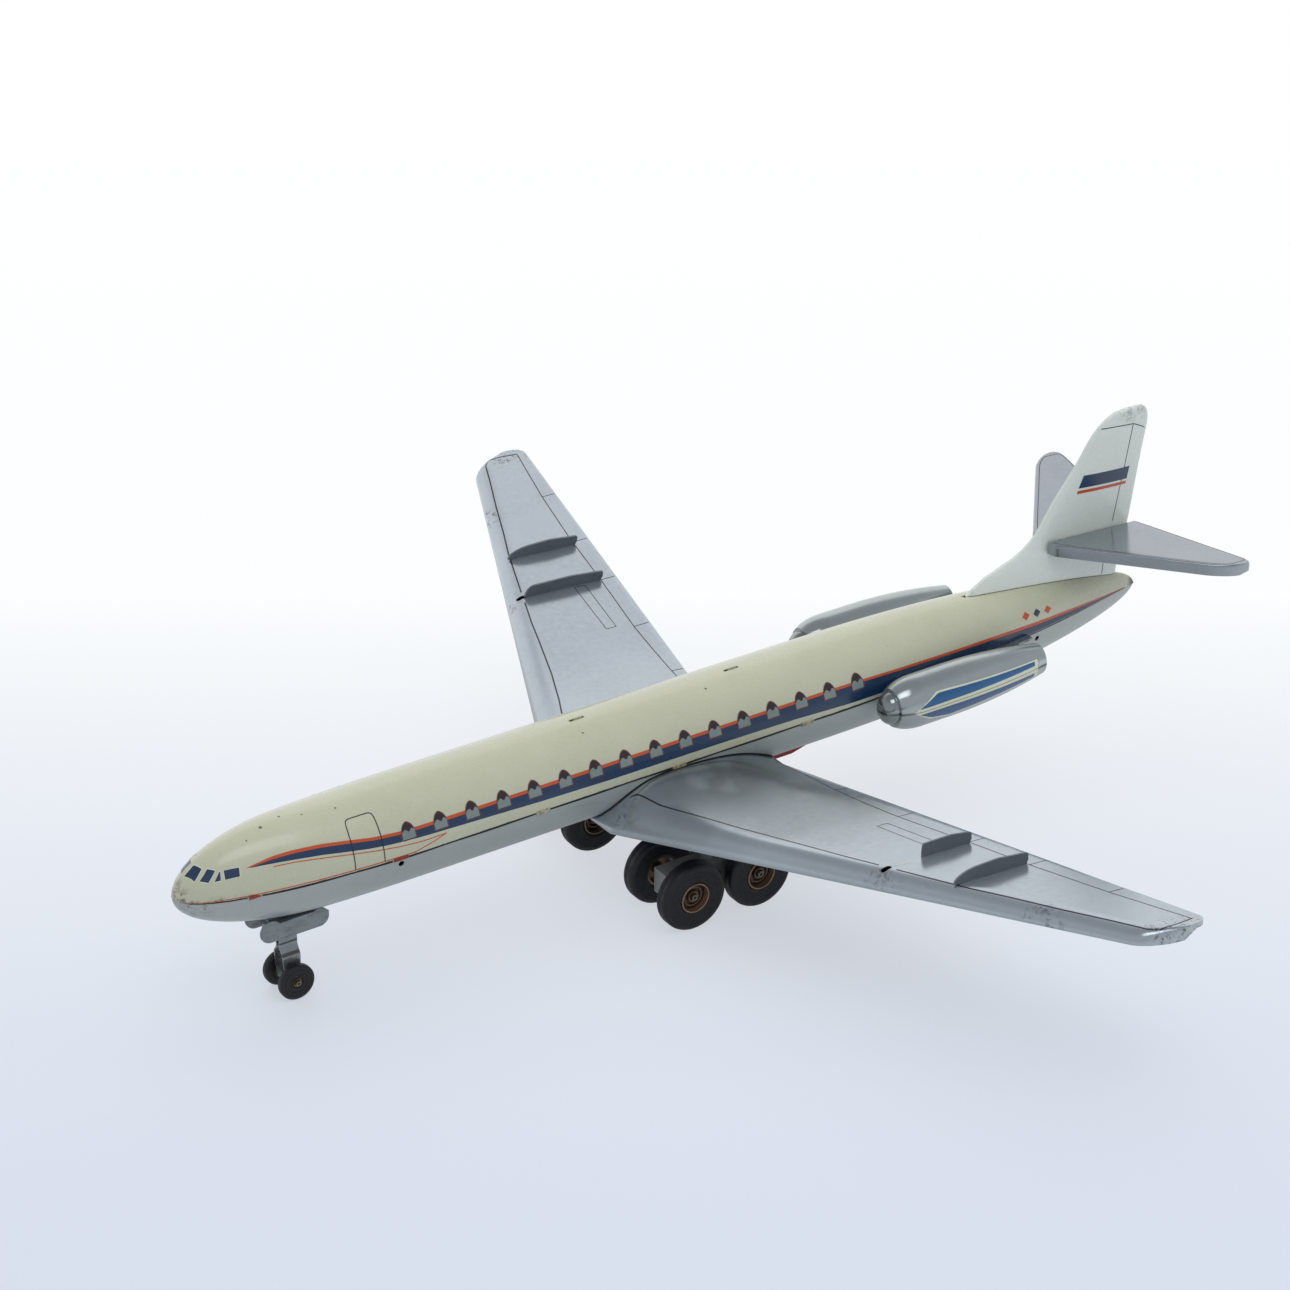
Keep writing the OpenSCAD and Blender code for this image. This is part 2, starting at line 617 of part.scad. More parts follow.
// The nose gear bracket: a flat base under the belly with a rounded cheek on each side
belly_z = fuselage_z - fuselage_r + shell_lap;
bracket_t = 0.7;
bracket_top = belly_z - seam_gap;
bracket_behind = 19.5;
bracket_ahead = 8;
bracket_rear = steer_x - bracket_behind;
bracket_front = steer_x + bracket_ahead;
cheek_rear = bracket_rear + 2 * bracket_t;
cheek_front = bracket_front + 5.8;
// The rear end of each cheek stands clear of the belly by this much
cheek_relief = [6, 1.3];
cheek_half = strut_half + 2.2;
cheek_low = 31;
rear_round = 4.4;
front_round = 5;
rivet_r = 1.2;
rivet_head_r = 2.4;
rivet_head_t = 0.8;
module nose_gear_bracket() {
    base_z = bracket_top - bracket_t / 2;
    color(dark_tin) difference() {
        union() {
            translate([bracket_rear + cheek_relief[0], -cheek_half - bracket_t, bracket_top - bracket_t])
                cube([bracket_front - bracket_rear - cheek_relief[0],
                    2 * (cheek_half + bracket_t), bracket_t]);
            for (side = [-1, 1]) translate([0, side * (cheek_half + bracket_t / 2), 0])
                rotate([90, 0, 0]) linear_extrude(bracket_t, center = true) union() {
                    polygon([[cheek_rear + cheek_relief[0], base_z],
                        [cheek_rear + cheek_relief[0] - 1, base_z - cheek_relief[1]],
                        [cheek_rear, base_z - cheek_relief[1]], [cheek_rear, cheek_low + rear_round],
                        [cheek_rear + rear_round, cheek_low], [cheek_front - front_round, cheek_low],
                        [cheek_front, cheek_low + front_round], [cheek_front - 1.6, base_z + 2.4],
                        [bracket_front, base_z]]);
                    translate([cheek_rear + rear_round, cheek_low + rear_round])
                        circle(rear_round, $fn = 48);
                    translate([cheek_front - front_round, cheek_low + front_round])
                        circle(front_round, $fn = 48);
                }
        }
        translate([steer_x, 0, bracket_top]) cylinder(r = rivet_r + shaft_play, h = 4, center = true);
    }
}

// Rivet on which the nose strut swings
strut_top = bracket_top - bracket_t - turn_gap;
strut_t = 0.8;
module steering_rivet() {
    low = strut_top - strut_t - turn_gap;
    color(bare_steel) translate([steer_x, 0, 0]) union() {
        translate([0, 0, low]) cylinder(r = rivet_r, h = bracket_top + seam_gap - low);
        translate([0, 0, low - rivet_head_t]) cylinder(r = rivet_head_r, h = rivet_head_t);
        translate([0, 0, bracket_top + seam_gap]) cylinder(r = rivet_head_r, h = rivet_head_t);
    }
}

// Strip folded into a top plate, a narrow neck and two arms that hold the nose axle
nose_axle_x = steer_x - nose_trail;
strut_behind = 5.5;
strut_rear = steer_x - strut_behind;
neck_top = cheek_low + 3.6;
neck_low = 23;
neck_bend = 4;
arm_r = 3.6;
module nose_strut() {
    front = strut_rear + strut_len;
    outer = [[strut_half, 0], [strut_half, neck_low - neck_bend], [neck_half, neck_low],
        [neck_half, neck_top - neck_bend], [strut_half, neck_top], [strut_half, strut_top]];
    inner = [[strut_half - strut_t, 0], [strut_half - strut_t, neck_low - neck_bend],
        [neck_half - strut_t, neck_low], [neck_half - strut_t, neck_top - neck_bend],
        [strut_half - strut_t, neck_top], [strut_half - strut_t, strut_top - strut_t]];
    color(silver) difference() {
        intersection() {
            translate([strut_rear, 0, 0]) rotate([90, 0, 90]) linear_extrude(strut_len)
                polygon(concat(outer, [for (k = [5:-1:0]) [-outer[k][0], outer[k][1]]],
                    [for (p = inner) [-p[0], p[1]]], [for (k = [5:-1:0]) inner[k]]));
            rotate([90, 0, 0]) linear_extrude(3 * strut_half, center = true)
                polygon(concat([[strut_rear, strut_top + 1], [front, strut_top + 1],
                    [front, neck_low - neck_bend]],
                    [for (turn = [0:-15:-180])
                        [nose_axle_x + arm_r * cos(turn), nose_wheel_r + arm_r * sin(turn)]],
                    [[strut_rear, neck_low - neck_bend]]));
        }
        translate([steer_x, 0, strut_top]) cylinder(r = rivet_r + shaft_play, h = 4, center = true);
        translate([nose_axle_x, 0, nose_wheel_r]) rotate([90, 0, 0])
            cylinder(r = nose_axle_r + shaft_play, h = 3 * strut_half, center = true);
    }
}

// Shaft along Y with a small drilled dimple in each end
module shaft(x, z, y_low, y_high, r) {
    color(bare_steel) translate([x, y_low, z]) rotate([-90, 0, 0]) difference() {
        cylinder(r = r, h = y_high - y_low);
        for (end = [0, y_high - y_low]) translate([0, 0, end])
            cylinder(r = r / 2.4, h = 1.6, center = true);
    }
}

nose_axle_r = 1.2;
nose_wheel_in = strut_half + 0.7;
module nose_axle() {
    half = nose_wheel_in + nose_wheel_w + 0.6;
    shaft(nose_axle_x, nose_wheel_r, -half, half, nose_axle_r);
}

// Small solid wheel with a raised boss
module nose_wheel(side) {
    round = 1;
    color(rubber)
        translate([nose_axle_x, side * (nose_wheel_in + nose_wheel_w / 2), nose_wheel_r])
        rotate([90, 0, 0]) rotate_extrude($fn = 72) translate([0, -nose_wheel_w / 2]) union() {
            translate([nose_axle_r + seam_gap / 2, 0.4]) square([3, nose_wheel_w - 0.8]);
            translate([3.4, 0]) square([nose_wheel_r - 3.4 - round, nose_wheel_w]);
            translate([3.4, round]) square([nose_wheel_r - 3.4, nose_wheel_w - 2 * round]);
            for (z = [round, nose_wheel_w - round]) translate([nose_wheel_r - round, z])
                circle(round, $fn = 24);
        }
}

// Cast weight that keeps the nose wheels on the floor, resting on the bottom shell
ballast_r = 14;
ballast_rear = 138;
ballast_front = 176;
module nose_ballast() {
    color(bare_steel)
        translate([ballast_rear, 0, belly_z + sheet_t + seam_gap + ballast_r])
        rotate([0, 90, 0]) cylinder(r = ballast_r, h = ballast_front - ballast_rear);
}

// Main bogie: a channel along X with a hole for each axle, and a post up to the wing
cheek_gap = 8;
cheek_t = 0.8;
beam_top = tyre_r + 7;
beam_front = front_axle_x + 7;
beam_rear = rear_axle_x - 6;
nose_low = tyre_r - 5;
post_x = (front_axle_x + rear_axle_x) / 2;
post_r = 3.2;
foot = [16, 12, 0.8];
// Radius of the round ear about each axle
axle_ear = 4.6;
module bogie_frame() {
    foot_z = wing_bottom(post_x, bogie_y);
    slope_x = wing_bottom(post_x + 1, bogie_y) - foot_z;
    slope_y = wing_bottom(post_x, bogie_y + 1) - foot_z;
    outer = cheek_gap / 2 + cheek_t;
    color(silver) translate([0, bogie_y, 0]) difference() {
        union() {
            for (side = [-1, 1]) translate([0, side * (outer - cheek_t / 2), 0]) rotate([90, 0, 0])
                linear_extrude(cheek_t, center = true) union() {
                    for (x = [front_axle_x, rear_axle_x]) translate([x, tyre_r]) circle(axle_ear);
                    polygon([[beam_rear, tyre_r - 1], [beam_rear, beam_top], [beam_front, beam_top],
                        [beam_front, nose_low], [front_axle_x, tyre_r - axle_ear],
                        [front_axle_x - 8, tyre_r + 1], [rear_axle_x + 8, tyre_r + 1],
                        [rear_axle_x, tyre_r - axle_ear]]);
                }
            translate([beam_rear, -outer, beam_top - cheek_t])
                cube([beam_front - beam_rear, 2 * outer, cheek_t]);
            translate([beam_front - cheek_t, -outer, nose_low])
                cube([cheek_t, 2 * outer, beam_top - nose_low]);
            translate([post_x, 0, beam_top - cheek_t])
                cylinder(r = post_r, h = foot_z - beam_top + cheek_t - 0.7);
            translate([post_x, 0, foot_z - 0.25]) rotate([atan(slope_y), -atan(slope_x), 0])
                translate([-foot[0] / 2, -foot[1] / 2, -foot[2]]) cube(foot);
        }
        for (x = [front_axle_x, rear_axle_x]) translate([x, 0, tyre_r]) rotate([90, 0, 0])
            cylinder(r = axle_r + shaft_play, h = 4 * outer, center = true);
        translate([beam_front, 0, nose_low]) rotate([0, 90, 0])
            cylinder(r = 2.6, h = 4, center = true, $fn = 4);
    }
}

wheel_half = wheel_spread / 2;
module main_axle(x) {
    reach = wheel_half + tyre_w / 2 - 0.6;
    shaft(x, tyre_r, bogie_y - reach, bogie_y + reach, axle_r);
}

// Pressed hub with a rolled rim, a dished web and a boss, turned towards the outside
hub_rim_t = 0.9;
hub_rim_back = 1.2;
hub_rim_front = 0.3;
hub_web_t = 0.8;
hub_bead_r = 4.6;
hub_bead = [1, 1.6];
hub_boss_t = 1.5;
hub_boss_back = 1.8;
module hub(x, y, face) {
    half = tyre_w / 2;
    curl = hub_rim_t / 2;
    color(lacquer) translate([x, y, tyre_r]) rotate([-90 * face, 0, 0]) rotate_extrude($fn = 72) union() {
        translate([hub_r - hub_rim_t, -half + hub_rim_back])
            square([hub_rim_t, tyre_w - hub_rim_back - hub_rim_front]);
        translate([hub_r - curl, half - hub_rim_front]) circle(curl, $fn = 24);
        translate([axle_r + 1.2, -hub_web_t / 2]) square([hub_r - axle_r - 1.6, hub_web_t]);
        translate([hub_bead_r, 0]) square(hub_bead);
        translate([axle_r + seam_gap / 2, -half + hub_boss_back])
            square([hub_boss_t, tyre_w - hub_boss_back - 1.2]);
    }
}

// Solid rubber tyre with rounded shoulders and a moulded ring on each wall
tyre_round = 2.3;
tyre_bead = 1.1;
tyre_bead_in = 0.5;
module tyre(x, y) {
    round = tyre_round;
    half = tyre_w / 2;
    bore = hub_r + seam_gap;
    wall = bore + tyre_bead;
    color(rubber) translate([x, y, tyre_r]) rotate([90, 0, 0]) rotate_extrude($fn = 96) union() {
        translate([bore, -half + tyre_bead_in])
            square([tyre_r - bore - round, tyre_w - 2 * tyre_bead_in]);
        translate([wall, -half]) square([tyre_r - wall - round, tyre_w]);
        translate([wall, -half + round]) square([tyre_r - wall, tyre_w - 2 * round]);
        for (z = [-half + round, half - round]) translate([tyre_r - round, z]) circle(round, $fn = 32);
    }
}

// Straight-flanked tooth outline with rounded play for a small module
function gear_outline(teeth) =
    let (pitch_r = gear_module * teeth / 2, step = 360 / teeth)
    [for (k = [0:teeth - 1]) each
        let (at = k * step)
        [for (p = [[-1.15, -0.31], [0, -0.205], [0.72, -0.1], [0.72, 0.1], [0, 0.205], [-1.15, 0.31]])
            let (r = pitch_r + p[0] * gear_module, turn = at + p[1] * step)
            [r * cos(turn), r * sin(turn)]]];
module gear(x, z, y_low, teeth, turn, bore_r) {
    translate([x, y_low + gear_w, z]) rotate([90, 0, 0]) linear_extrude(gear_w) difference() {
        rotate(turn) polygon(gear_outline(teeth));
        circle(bore_r);
    }
}

// The gear train climbs from the driving axle to the flywheel
drive_teeth = 30;
pinion_teeth = 10;
idler_teeth = 32;
drive_z = tyre_r;
idler_lean = 100;
flywheel_lean = 115;
train_play = 0.1;
idler_reach = gear_module * (drive_teeth + pinion_teeth) / 2 + train_play;
flywheel_reach = gear_module * (idler_teeth + pinion_teeth) / 2 + train_play;
idler_x = drive_x + idler_reach * cos(idler_lean);
idler_z = drive_z + idler_reach * sin(idler_lean);
fly_x = idler_x + flywheel_reach * cos(flywheel_lean);
fly_z = idler_z + flywheel_reach * sin(flywheel_lean);
arbor_r = 1.2;
drive_plane = 5.2;
idler_plane = 1.6;
fly_plane = 0.6;
frame_out = frame_half + frame_t;

// Folded frame: two walls, a flat bottom that opens where the gears pass, and a
// flange inside the belly at each end
frame_z = belly_z - frame_drop;
frame_top = fly_z + 6;
lobe_r = 5;
lobe_spread = 20;
gear_way = gear_module * (idler_teeth + 2) / 2 + 1.5;
open_rear = min(idler_x - gear_way, fly_x - flywheel_r - 1);
open_front = max(idler_x + gear_way, fly_x + flywheel_r + 1);
flange_z = fuselage_z - sqrt(pow(fuselage_r - shell_lap - sheet_t, 2) - pow(frame_out, 2)) + seam_gap;
flange_len = 7;
module drive_frame() {
    color(red_paint) difference() {
        union() {
            for (side = [-1, 1]) translate([0, side * (frame_half + frame_t / 2), 0])
                rotate([90, 0, 0]) linear_extrude(frame_t, center = true) union() {
                    polygon([[frame_rear_x, frame_z + 2], [frame_rear_x + 8, frame_z],
                        [drive_x - lobe_spread, frame_z], [drive_x - lobe_r, drive_z],
                        [drive_x + lobe_r, drive_z], [drive_x + lobe_spread, frame_z],
                        [frame_front_x, frame_z], [frame_front_x, flange_z + frame_t],
                        [fly_x + 16, flange_z + 4], [fly_x + 10, frame_top], [fly_x - 10, frame_top],
                        [fly_x - 16, flange_z + 4], [frame_rear_x, flange_z + frame_t]]);
                    translate([drive_x, drive_z]) circle(lobe_r);
                }
            translate([frame_rear_x + 8, -frame_half, frame_z])
                cube([open_rear - frame_rear_x - 8, 2 * frame_half, frame_t]);
            translate([open_front, -frame_half, frame_z])
                cube([frame_front_x - open_front, 2 * frame_half, frame_t]);
            for (x = [frame_rear_x - flange_len, frame_front_x - flange_len])
                translate([x, -frame_out, flange_z]) cube([2 * flange_len, 2 * frame_out, frame_t]);
        }
        for (p = [[drive_x, drive_z, axle_r], [idler_x, idler_z, arbor_r], [fly_x, fly_z, arbor_r]])
            translate([p[0], 0, p[1]]) rotate([90, 0, 0])
                cylinder(r = p[2] + shaft_play, h = 3 * frame_out, center = true);
    }
}

drive_wheel_in = frame_out + 0.7;
module drive_axle() {
    half = drive_wheel_in + drive_wheel_w + 0.5;
    shaft(drive_x, drive_z, -half, half, axle_r);
}
module drive_gear() {
    color(brass) gear(drive_x, drive_z, drive_plane, drive_teeth, idler_lean, axle_r + seam_gap / 2);
}

// Driving wheel: one moulding with a boss, a thin web and a broad tread
drive_tread_in = 8;
drive_boss_t = 1.6;
drive_web_t = 2;
module drive_wheel(side) {
    round = 1.2;
    color(rubber)
        translate([drive_x, side * (drive_wheel_in + drive_wheel_w / 2), drive_z])
        rotate([90, 0, 0]) rotate_extrude($fn = 96) translate([0, -drive_wheel_w / 2]) union() {
            translate([axle_r + seam_gap / 2, 0]) square([drive_boss_t, drive_wheel_w]);
            translate([axle_r + 1, (drive_wheel_w - drive_web_t) / 2])
                square([drive_tread_in - axle_r - 0.5, drive_web_t]);
            translate([drive_tread_in, 0]) square([tyre_r - drive_tread_in - round, drive_wheel_w]);
            translate([drive_tread_in, round])
                square([tyre_r - drive_tread_in, drive_wheel_w - 2 * round]);
            for (z = [round, drive_wheel_w - round]) translate([tyre_r - round, z]) circle(round, $fn = 24);
        }
}

arbor_reach = frame_out + 0.6;
module idler_arbor() {
    shaft(idler_x, idler_z, -arbor_reach, arbor_reach, arbor_r);
}
module idler_pinion() {
    color(bare_steel) gear(idler_x, idler_z, drive_plane, pinion_teeth,
        idler_lean + 180 + 180 / pinion_teeth, arbor_r + seam_gap / 2);
}
module idler_gear() {
    color(brass) gear(idler_x, idler_z, idler_plane, idler_teeth, flywheel_lean,
        arbor_r + seam_gap / 2);
}

// Flywheel shaft with its own cut pinion, and the heavy flywheel on it
module flywheel_shaft() {
    color(bare_steel) union() {
        translate([fly_x, -arbor_reach, fly_z]) rotate([-90, 0, 0])
            cylinder(r = arbor_r, h = 2 * arbor_reach);
        gear(fly_x, fly_z, idler_plane, pinion_teeth,
            flywheel_lean + 180 + 180 / pinion_teeth, arbor_r - 0.2);
    }
}
module flywheel() {
    rim = 3;
    color(bare_steel) translate([fly_x, fly_plane, fly_z]) rotate([90, 0, 0])
        rotate_extrude($fn = 96) union() {
            translate([arbor_r + seam_gap / 2, 1]) square([flywheel_r - arbor_r - 1, flywheel_w - 2]);
            translate([flywheel_r - rim, 0]) square([rim, flywheel_w]);
            translate([arbor_r + seam_gap / 2, 0]) square([2, flywheel_w]);
        }
}

// The longest parts fore and aft set how far everything is moved to centre the toy
shift_x = -(nose_x + min(tail_x, tailplane_trail(tailplane_half_span - tailplane_trail_corner[0]))) / 2;
module placed() { translate([shift_x, 0, 0]) children(); }
module mirrored() { mirror([0, 1, 0]) children(); }

placed() fuselage_top_shell();
placed() fuselage_bottom_shell();
placed() wing_top(short_fence_len);  // left_wing_top
placed() wing_bottom_sheet();  // left_wing_bottom
placed() mirrored() wing_top(inner_fence_len);  // right_wing_top
placed() mirrored() wing_bottom_sheet();  // right_wing_bottom
placed() fence(inner_fence_y, short_fence_len, short_fence_rise);  // left_inner_fence
placed() fence(outer_fence_y, outer_fence_len, outer_fence_rise);  // left_outer_fence
placed() mirrored() fence(inner_fence_y, inner_fence_len, inner_fence_rise);  // right_inner_fence
placed() mirrored() fence(outer_fence_y, outer_fence_len, outer_fence_rise);  // right_outer_fence
placed() nacelle_half(1);  // left_nacelle_top
placed() nacelle_half(-1);  // left_nacelle_bottom
placed() mirrored() nacelle_half(1);  // right_nacelle_top
placed() mirrored() nacelle_half(-1);  // right_nacelle_bottom
placed() engine_pylon();  // left_engine_pylon
placed() mirrored() engine_pylon();  // right_engine_pylon
placed() fin_half_shell();  // fin_left_half
placed() mirrored() fin_half_shell();  // fin_right_half
placed() tailplane_half();  // left_tailplane
placed() mirrored() tailplane_half();  // right_tailplane
placed() nose_gear_bracket();
placed() steering_rivet();
placed() nose_strut();
placed() nose_axle();
placed() nose_wheel(1);  // left_nose_wheel
placed() nose_wheel(-1);  // right_nose_wheel
placed() nose_ballast();
placed() bogie_frame();  // left_bogie_frame
placed() mirrored() bogie_frame();  // right_bogie_frame
placed() main_axle(front_axle_x);  // left_front_axle
placed() hub(front_axle_x, bogie_y + wheel_half, 1);  // left_front_outer_hub
placed() tyre(front_axle_x, bogie_y + wheel_half);  // left_front_outer_tyre
placed() hub(front_axle_x, bogie_y - wheel_half, -1);  // left_front_inner_hub
placed() tyre(front_axle_x, bogie_y - wheel_half);  // left_front_inner_tyre
placed() main_axle(rear_axle_x);  // left_rear_axle
placed() hub(rear_axle_x, bogie_y + wheel_half, 1);  // left_rear_outer_hub
placed() tyre(rear_axle_x, bogie_y + wheel_half);  // left_rear_outer_tyre
placed() hub(rear_axle_x, bogie_y - wheel_half, -1);  // left_rear_inner_hub
placed() tyre(rear_axle_x, bogie_y - wheel_half);  // left_rear_inner_tyre
placed() mirrored() main_axle(front_axle_x);  // right_front_axle
placed() mirrored() hub(front_axle_x, bogie_y + wheel_half, 1);  // right_front_outer_hub
placed() mirrored() tyre(front_axle_x, bogie_y + wheel_half);  // right_front_outer_tyre
placed() mirrored() hub(front_axle_x, bogie_y - wheel_half, -1);  // right_front_inner_hub
placed() mirrored() tyre(front_axle_x, bogie_y - wheel_half);  // right_front_inner_tyre
placed() mirrored() main_axle(rear_axle_x);  // right_rear_axle
placed() mirrored() hub(rear_axle_x, bogie_y + wheel_half, 1);  // right_rear_outer_hub
placed() mirrored() tyre(rear_axle_x, bogie_y + wheel_half);  // right_rear_outer_tyre
placed() mirrored() hub(rear_axle_x, bogie_y - wheel_half, -1);  // right_rear_inner_hub
placed() mirrored() tyre(rear_axle_x, bogie_y - wheel_half);  // right_rear_inner_tyre
placed() drive_frame();
placed() drive_axle();
placed() drive_gear();
placed() drive_wheel(1);  // left_drive_wheel
placed() drive_wheel(-1);  // right_drive_wheel
placed() idler_arbor();
placed() idler_gear();
placed() idler_pinion();
placed() flywheel_shaft();
placed() flywheel();
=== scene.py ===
# %% [markdown]
# # A printed tin airliner, dressed step by step
# The toy is pressed from thin tin sheet that was printed flat, cut out and folded together
# with small tabs. The solids with their true sizes and joints are already made. This lesson
# loads them, lays smooth pressings over the coarse ones, and adds the print, the wear and a
# little painted shade.

# %% Load the finished frame
from math import acos, asin, ceil, cos, hypot, pi, radians, sin, sqrt
import bpy
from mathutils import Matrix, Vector


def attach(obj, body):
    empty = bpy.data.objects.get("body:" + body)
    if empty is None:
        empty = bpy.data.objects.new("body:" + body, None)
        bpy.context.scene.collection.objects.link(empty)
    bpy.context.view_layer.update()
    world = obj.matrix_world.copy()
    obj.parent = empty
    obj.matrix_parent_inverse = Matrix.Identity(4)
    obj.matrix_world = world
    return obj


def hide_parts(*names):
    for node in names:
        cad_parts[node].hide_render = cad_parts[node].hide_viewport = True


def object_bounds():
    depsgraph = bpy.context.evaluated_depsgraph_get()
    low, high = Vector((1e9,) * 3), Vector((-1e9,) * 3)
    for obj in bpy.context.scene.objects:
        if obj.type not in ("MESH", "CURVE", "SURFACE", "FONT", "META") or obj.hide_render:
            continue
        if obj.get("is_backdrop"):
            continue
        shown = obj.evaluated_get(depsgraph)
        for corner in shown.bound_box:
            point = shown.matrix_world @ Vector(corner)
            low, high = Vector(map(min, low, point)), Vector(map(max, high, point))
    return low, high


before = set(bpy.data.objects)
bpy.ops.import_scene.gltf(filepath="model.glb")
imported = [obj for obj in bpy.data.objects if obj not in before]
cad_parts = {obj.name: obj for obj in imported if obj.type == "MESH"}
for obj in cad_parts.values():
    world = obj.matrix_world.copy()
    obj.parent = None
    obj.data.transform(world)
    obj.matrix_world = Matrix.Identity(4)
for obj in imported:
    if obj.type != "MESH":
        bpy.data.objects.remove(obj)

cad_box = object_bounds()

# %% [markdown]
# ## Working by hand in code
# Every size below is in millimetres, counted from a datum under the wing, as on a workshop
# drawing. The frame is in metres with its origin under the middle of the toy, so one small
# helper turns drawing places into frame places. An operator works on whatever is selected,
# so another helper selects exactly the pieces that the next step needs.

# %% Helpers for selecting, editing and placing
MM = 0.001
DATUM_X = 4.57


def place(x, y, z):
    return Vector(((x + DATUM_X) * MM, y * MM, z * MM))


def only(*chosen):
    bpy.ops.object.select_all(action="DESELECT")
    for piece in chosen:
        piece.select_set(True)
    if chosen:
        bpy.context.view_layer.objects.active = chosen[0]


def edit(piece):
    only(piece)
    bpy.ops.object.mode_set(mode="EDIT")
    bpy.ops.mesh.select_all(action="SELECT")


def done():
    bpy.ops.object.mode_set(mode="OBJECT")


def modify(piece, kind, **settings):
    only(piece)
    modifier = piece.modifiers.new(kind.title(), kind)
    for name, value in settings.items():
        setattr(modifier, name, value)
    bpy.ops.object.modifier_apply(modifier=modifier.name)


def smooth(piece, angle=35):
    only(piece)
    bpy.ops.object.shade_smooth_by_angle(angle=radians(angle))


def settle(piece):
    only(piece)
    bpy.ops.object.transform_apply(location=True, rotation=True, scale=True)


def give(piece, material, body="airframe", stands_for=()):
    piece.data.materials.clear()
    piece.data.materials.append(material)
    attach(piece, body)
    if stands_for:
        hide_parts(*stands_for)


def join(name, pieces):
    only(*pieces)
    if len(pieces) > 1:
        bpy.ops.object.join()
    pieces[0].name = name
    pieces[0].data.name = name
    return pieces[0]


print("the middle of the toy lies", DATUM_X, "mm behind the datum")

# %% [markdown]
# ## Pressed sheet
# A pressing is a grid that has been pushed over a form. A grid primitive is added with the
# right number of squares, and its points are laid on rows of places worked out from the
# sections of the piece. Solidify then gives the sheet its thickness, inwards from the face
# that is seen, so the outside stays exactly where the frame says it is. A mirrored piece is a
# copy with its y turned round, and its normals are worked out again, because a mirror turns
# every face inside out.

# %% Lay a grid on rows of points
def laid_grid(name, rows):
    only()
    bpy.ops.mesh.primitive_grid_add(
        x_subdivisions=len(rows[0]) - 1, y_subdivisions=len(rows) - 1, size=1)
    sheet = bpy.context.object
    sheet.name = name
    sheet.data.name = name
    points = [place(*p) for row in rows for p in row]
    for vertex, point in zip(sheet.data.vertices, points):
        vertex.co = point
    return sheet


def face_away(sheet, inside):
    heart = place(*inside)
    outward = sum(f.normal.dot(f.center - heart) * f.area for f in sheet.data.polygons)
    if outward < 0:
        edit(sheet)
        bpy.ops.mesh.flip_normals()
        done()


def pressing(name, rows, inside, thickness):
    sheet = laid_grid(name, rows)
    edit(sheet)
    bpy.ops.mesh.remove_doubles(threshold=0.00001)
    done()
    face_away(sheet, inside)
    modify(sheet, "SOLIDIFY", thickness=thickness * MM, offset=-1, use_even_offset=False)
    smooth(sheet)
    return sheet


def mirrored_copy(piece, name):
    twin = piece.copy()
    twin.data = piece.data.copy()
    bpy.context.collection.objects.link(twin)
    twin.name = name
    twin.data.name = name
    twin.scale.y = -1
    settle(twin)
    edit(twin)
    bpy.ops.mesh.normals_make_consistent(inside=False)
    done()
    return twin

# %% [markdown]
# ## Blocks, rods and punches
# Small parts start as a block or a rod at its size and place. Slots and holes are cut with
# a boolean, as a punch would cut them. The punch is a block or a rod too, and it is taken
# away after the cut.

# %% Small primitives and the cut
def cut(piece, *cutters):
    for cutter in cutters:
        modify(piece, "BOOLEAN", object=cutter, operation="DIFFERENCE", solver="EXACT")
        bpy.data.objects.remove(cutter)


def block(x, y, z, size):
    only()
    bpy.ops.mesh.primitive_cube_add(size=1, location=place(x, y, z))
    cube = bpy.context.object
    cube.scale = [s * MM for s in size]
    settle(cube)
    return cube


def rod(x, y, z, radius, length, axis, sides=32):
    turns = {"X": (0, pi / 2, 0), "Y": (pi / 2, 0, 0), "Z": (0, 0, 0)}
    only()
    bpy.ops.mesh.primitive_cylinder_add(vertices=sides, radius=radius * MM,
        depth=length * MM, location=place(x, y, z), rotation=turns[axis])
    settle(bpy.context.object)
    return bpy.context.object

# %% [markdown]
# ## Finishes from small building blocks
# Old lacquered tin is never one flat colour. Each finish below mixes a few patterns in
# object space, measured in millimetres: a slow change of tone, fine scratches drawn out
# along the piece, dark specks where the coat has chipped, and a little unevenness that
# breaks up the gloss. A colour is written as on a paint chart and turned into linear light.

# %% Colours and nodes
def colour(code):
    parts = [int(code[i:i + 2], 16) / 255 for i in (1, 3, 5)]
    return [(c / 12.92 if c <= 0.04045 else ((c + 0.055) / 1.055) ** 2.4) for c in parts] + [1]


def add_node(tree, kind, **settings):
    node = tree.nodes.new("ShaderNode" + kind)
    for name, value in settings.items():
        setattr(node, name, value)
    return node

# %% [markdown]
# ## Patterns and sums
# Grain is a noise in object space, stretched where it should look drawn out. A fade cuts
# out the range of it that is wanted. Two patterns are multiplied where both must hold, and
# the stronger of two is taken where either will do. Blend mixes two colours by a pattern.

# %% Pattern helpers
def grain(tree, size, detail, roughness=0.6, stretch=(1, 1, 1), offset=(0, 0, 0)):
    where = add_node(tree, "TexCoord")
    mapping = add_node(tree, "Mapping")
    mapping.inputs["Scale"].default_value = [s / (size * MM) for s in stretch]
    mapping.inputs["Location"].default_value = offset
    noise = add_node(tree, "TexNoise")
    noise.inputs["Scale"].default_value = 1
    noise.inputs["Detail"].default_value = detail
    noise.inputs["Roughness"].default_value = roughness
    tree.links.new(where.outputs["Object"], mapping.inputs["Vector"])
    tree.links.new(mapping.outputs["Vector"], noise.inputs["Vector"])
    return noise.outputs["Fac"]


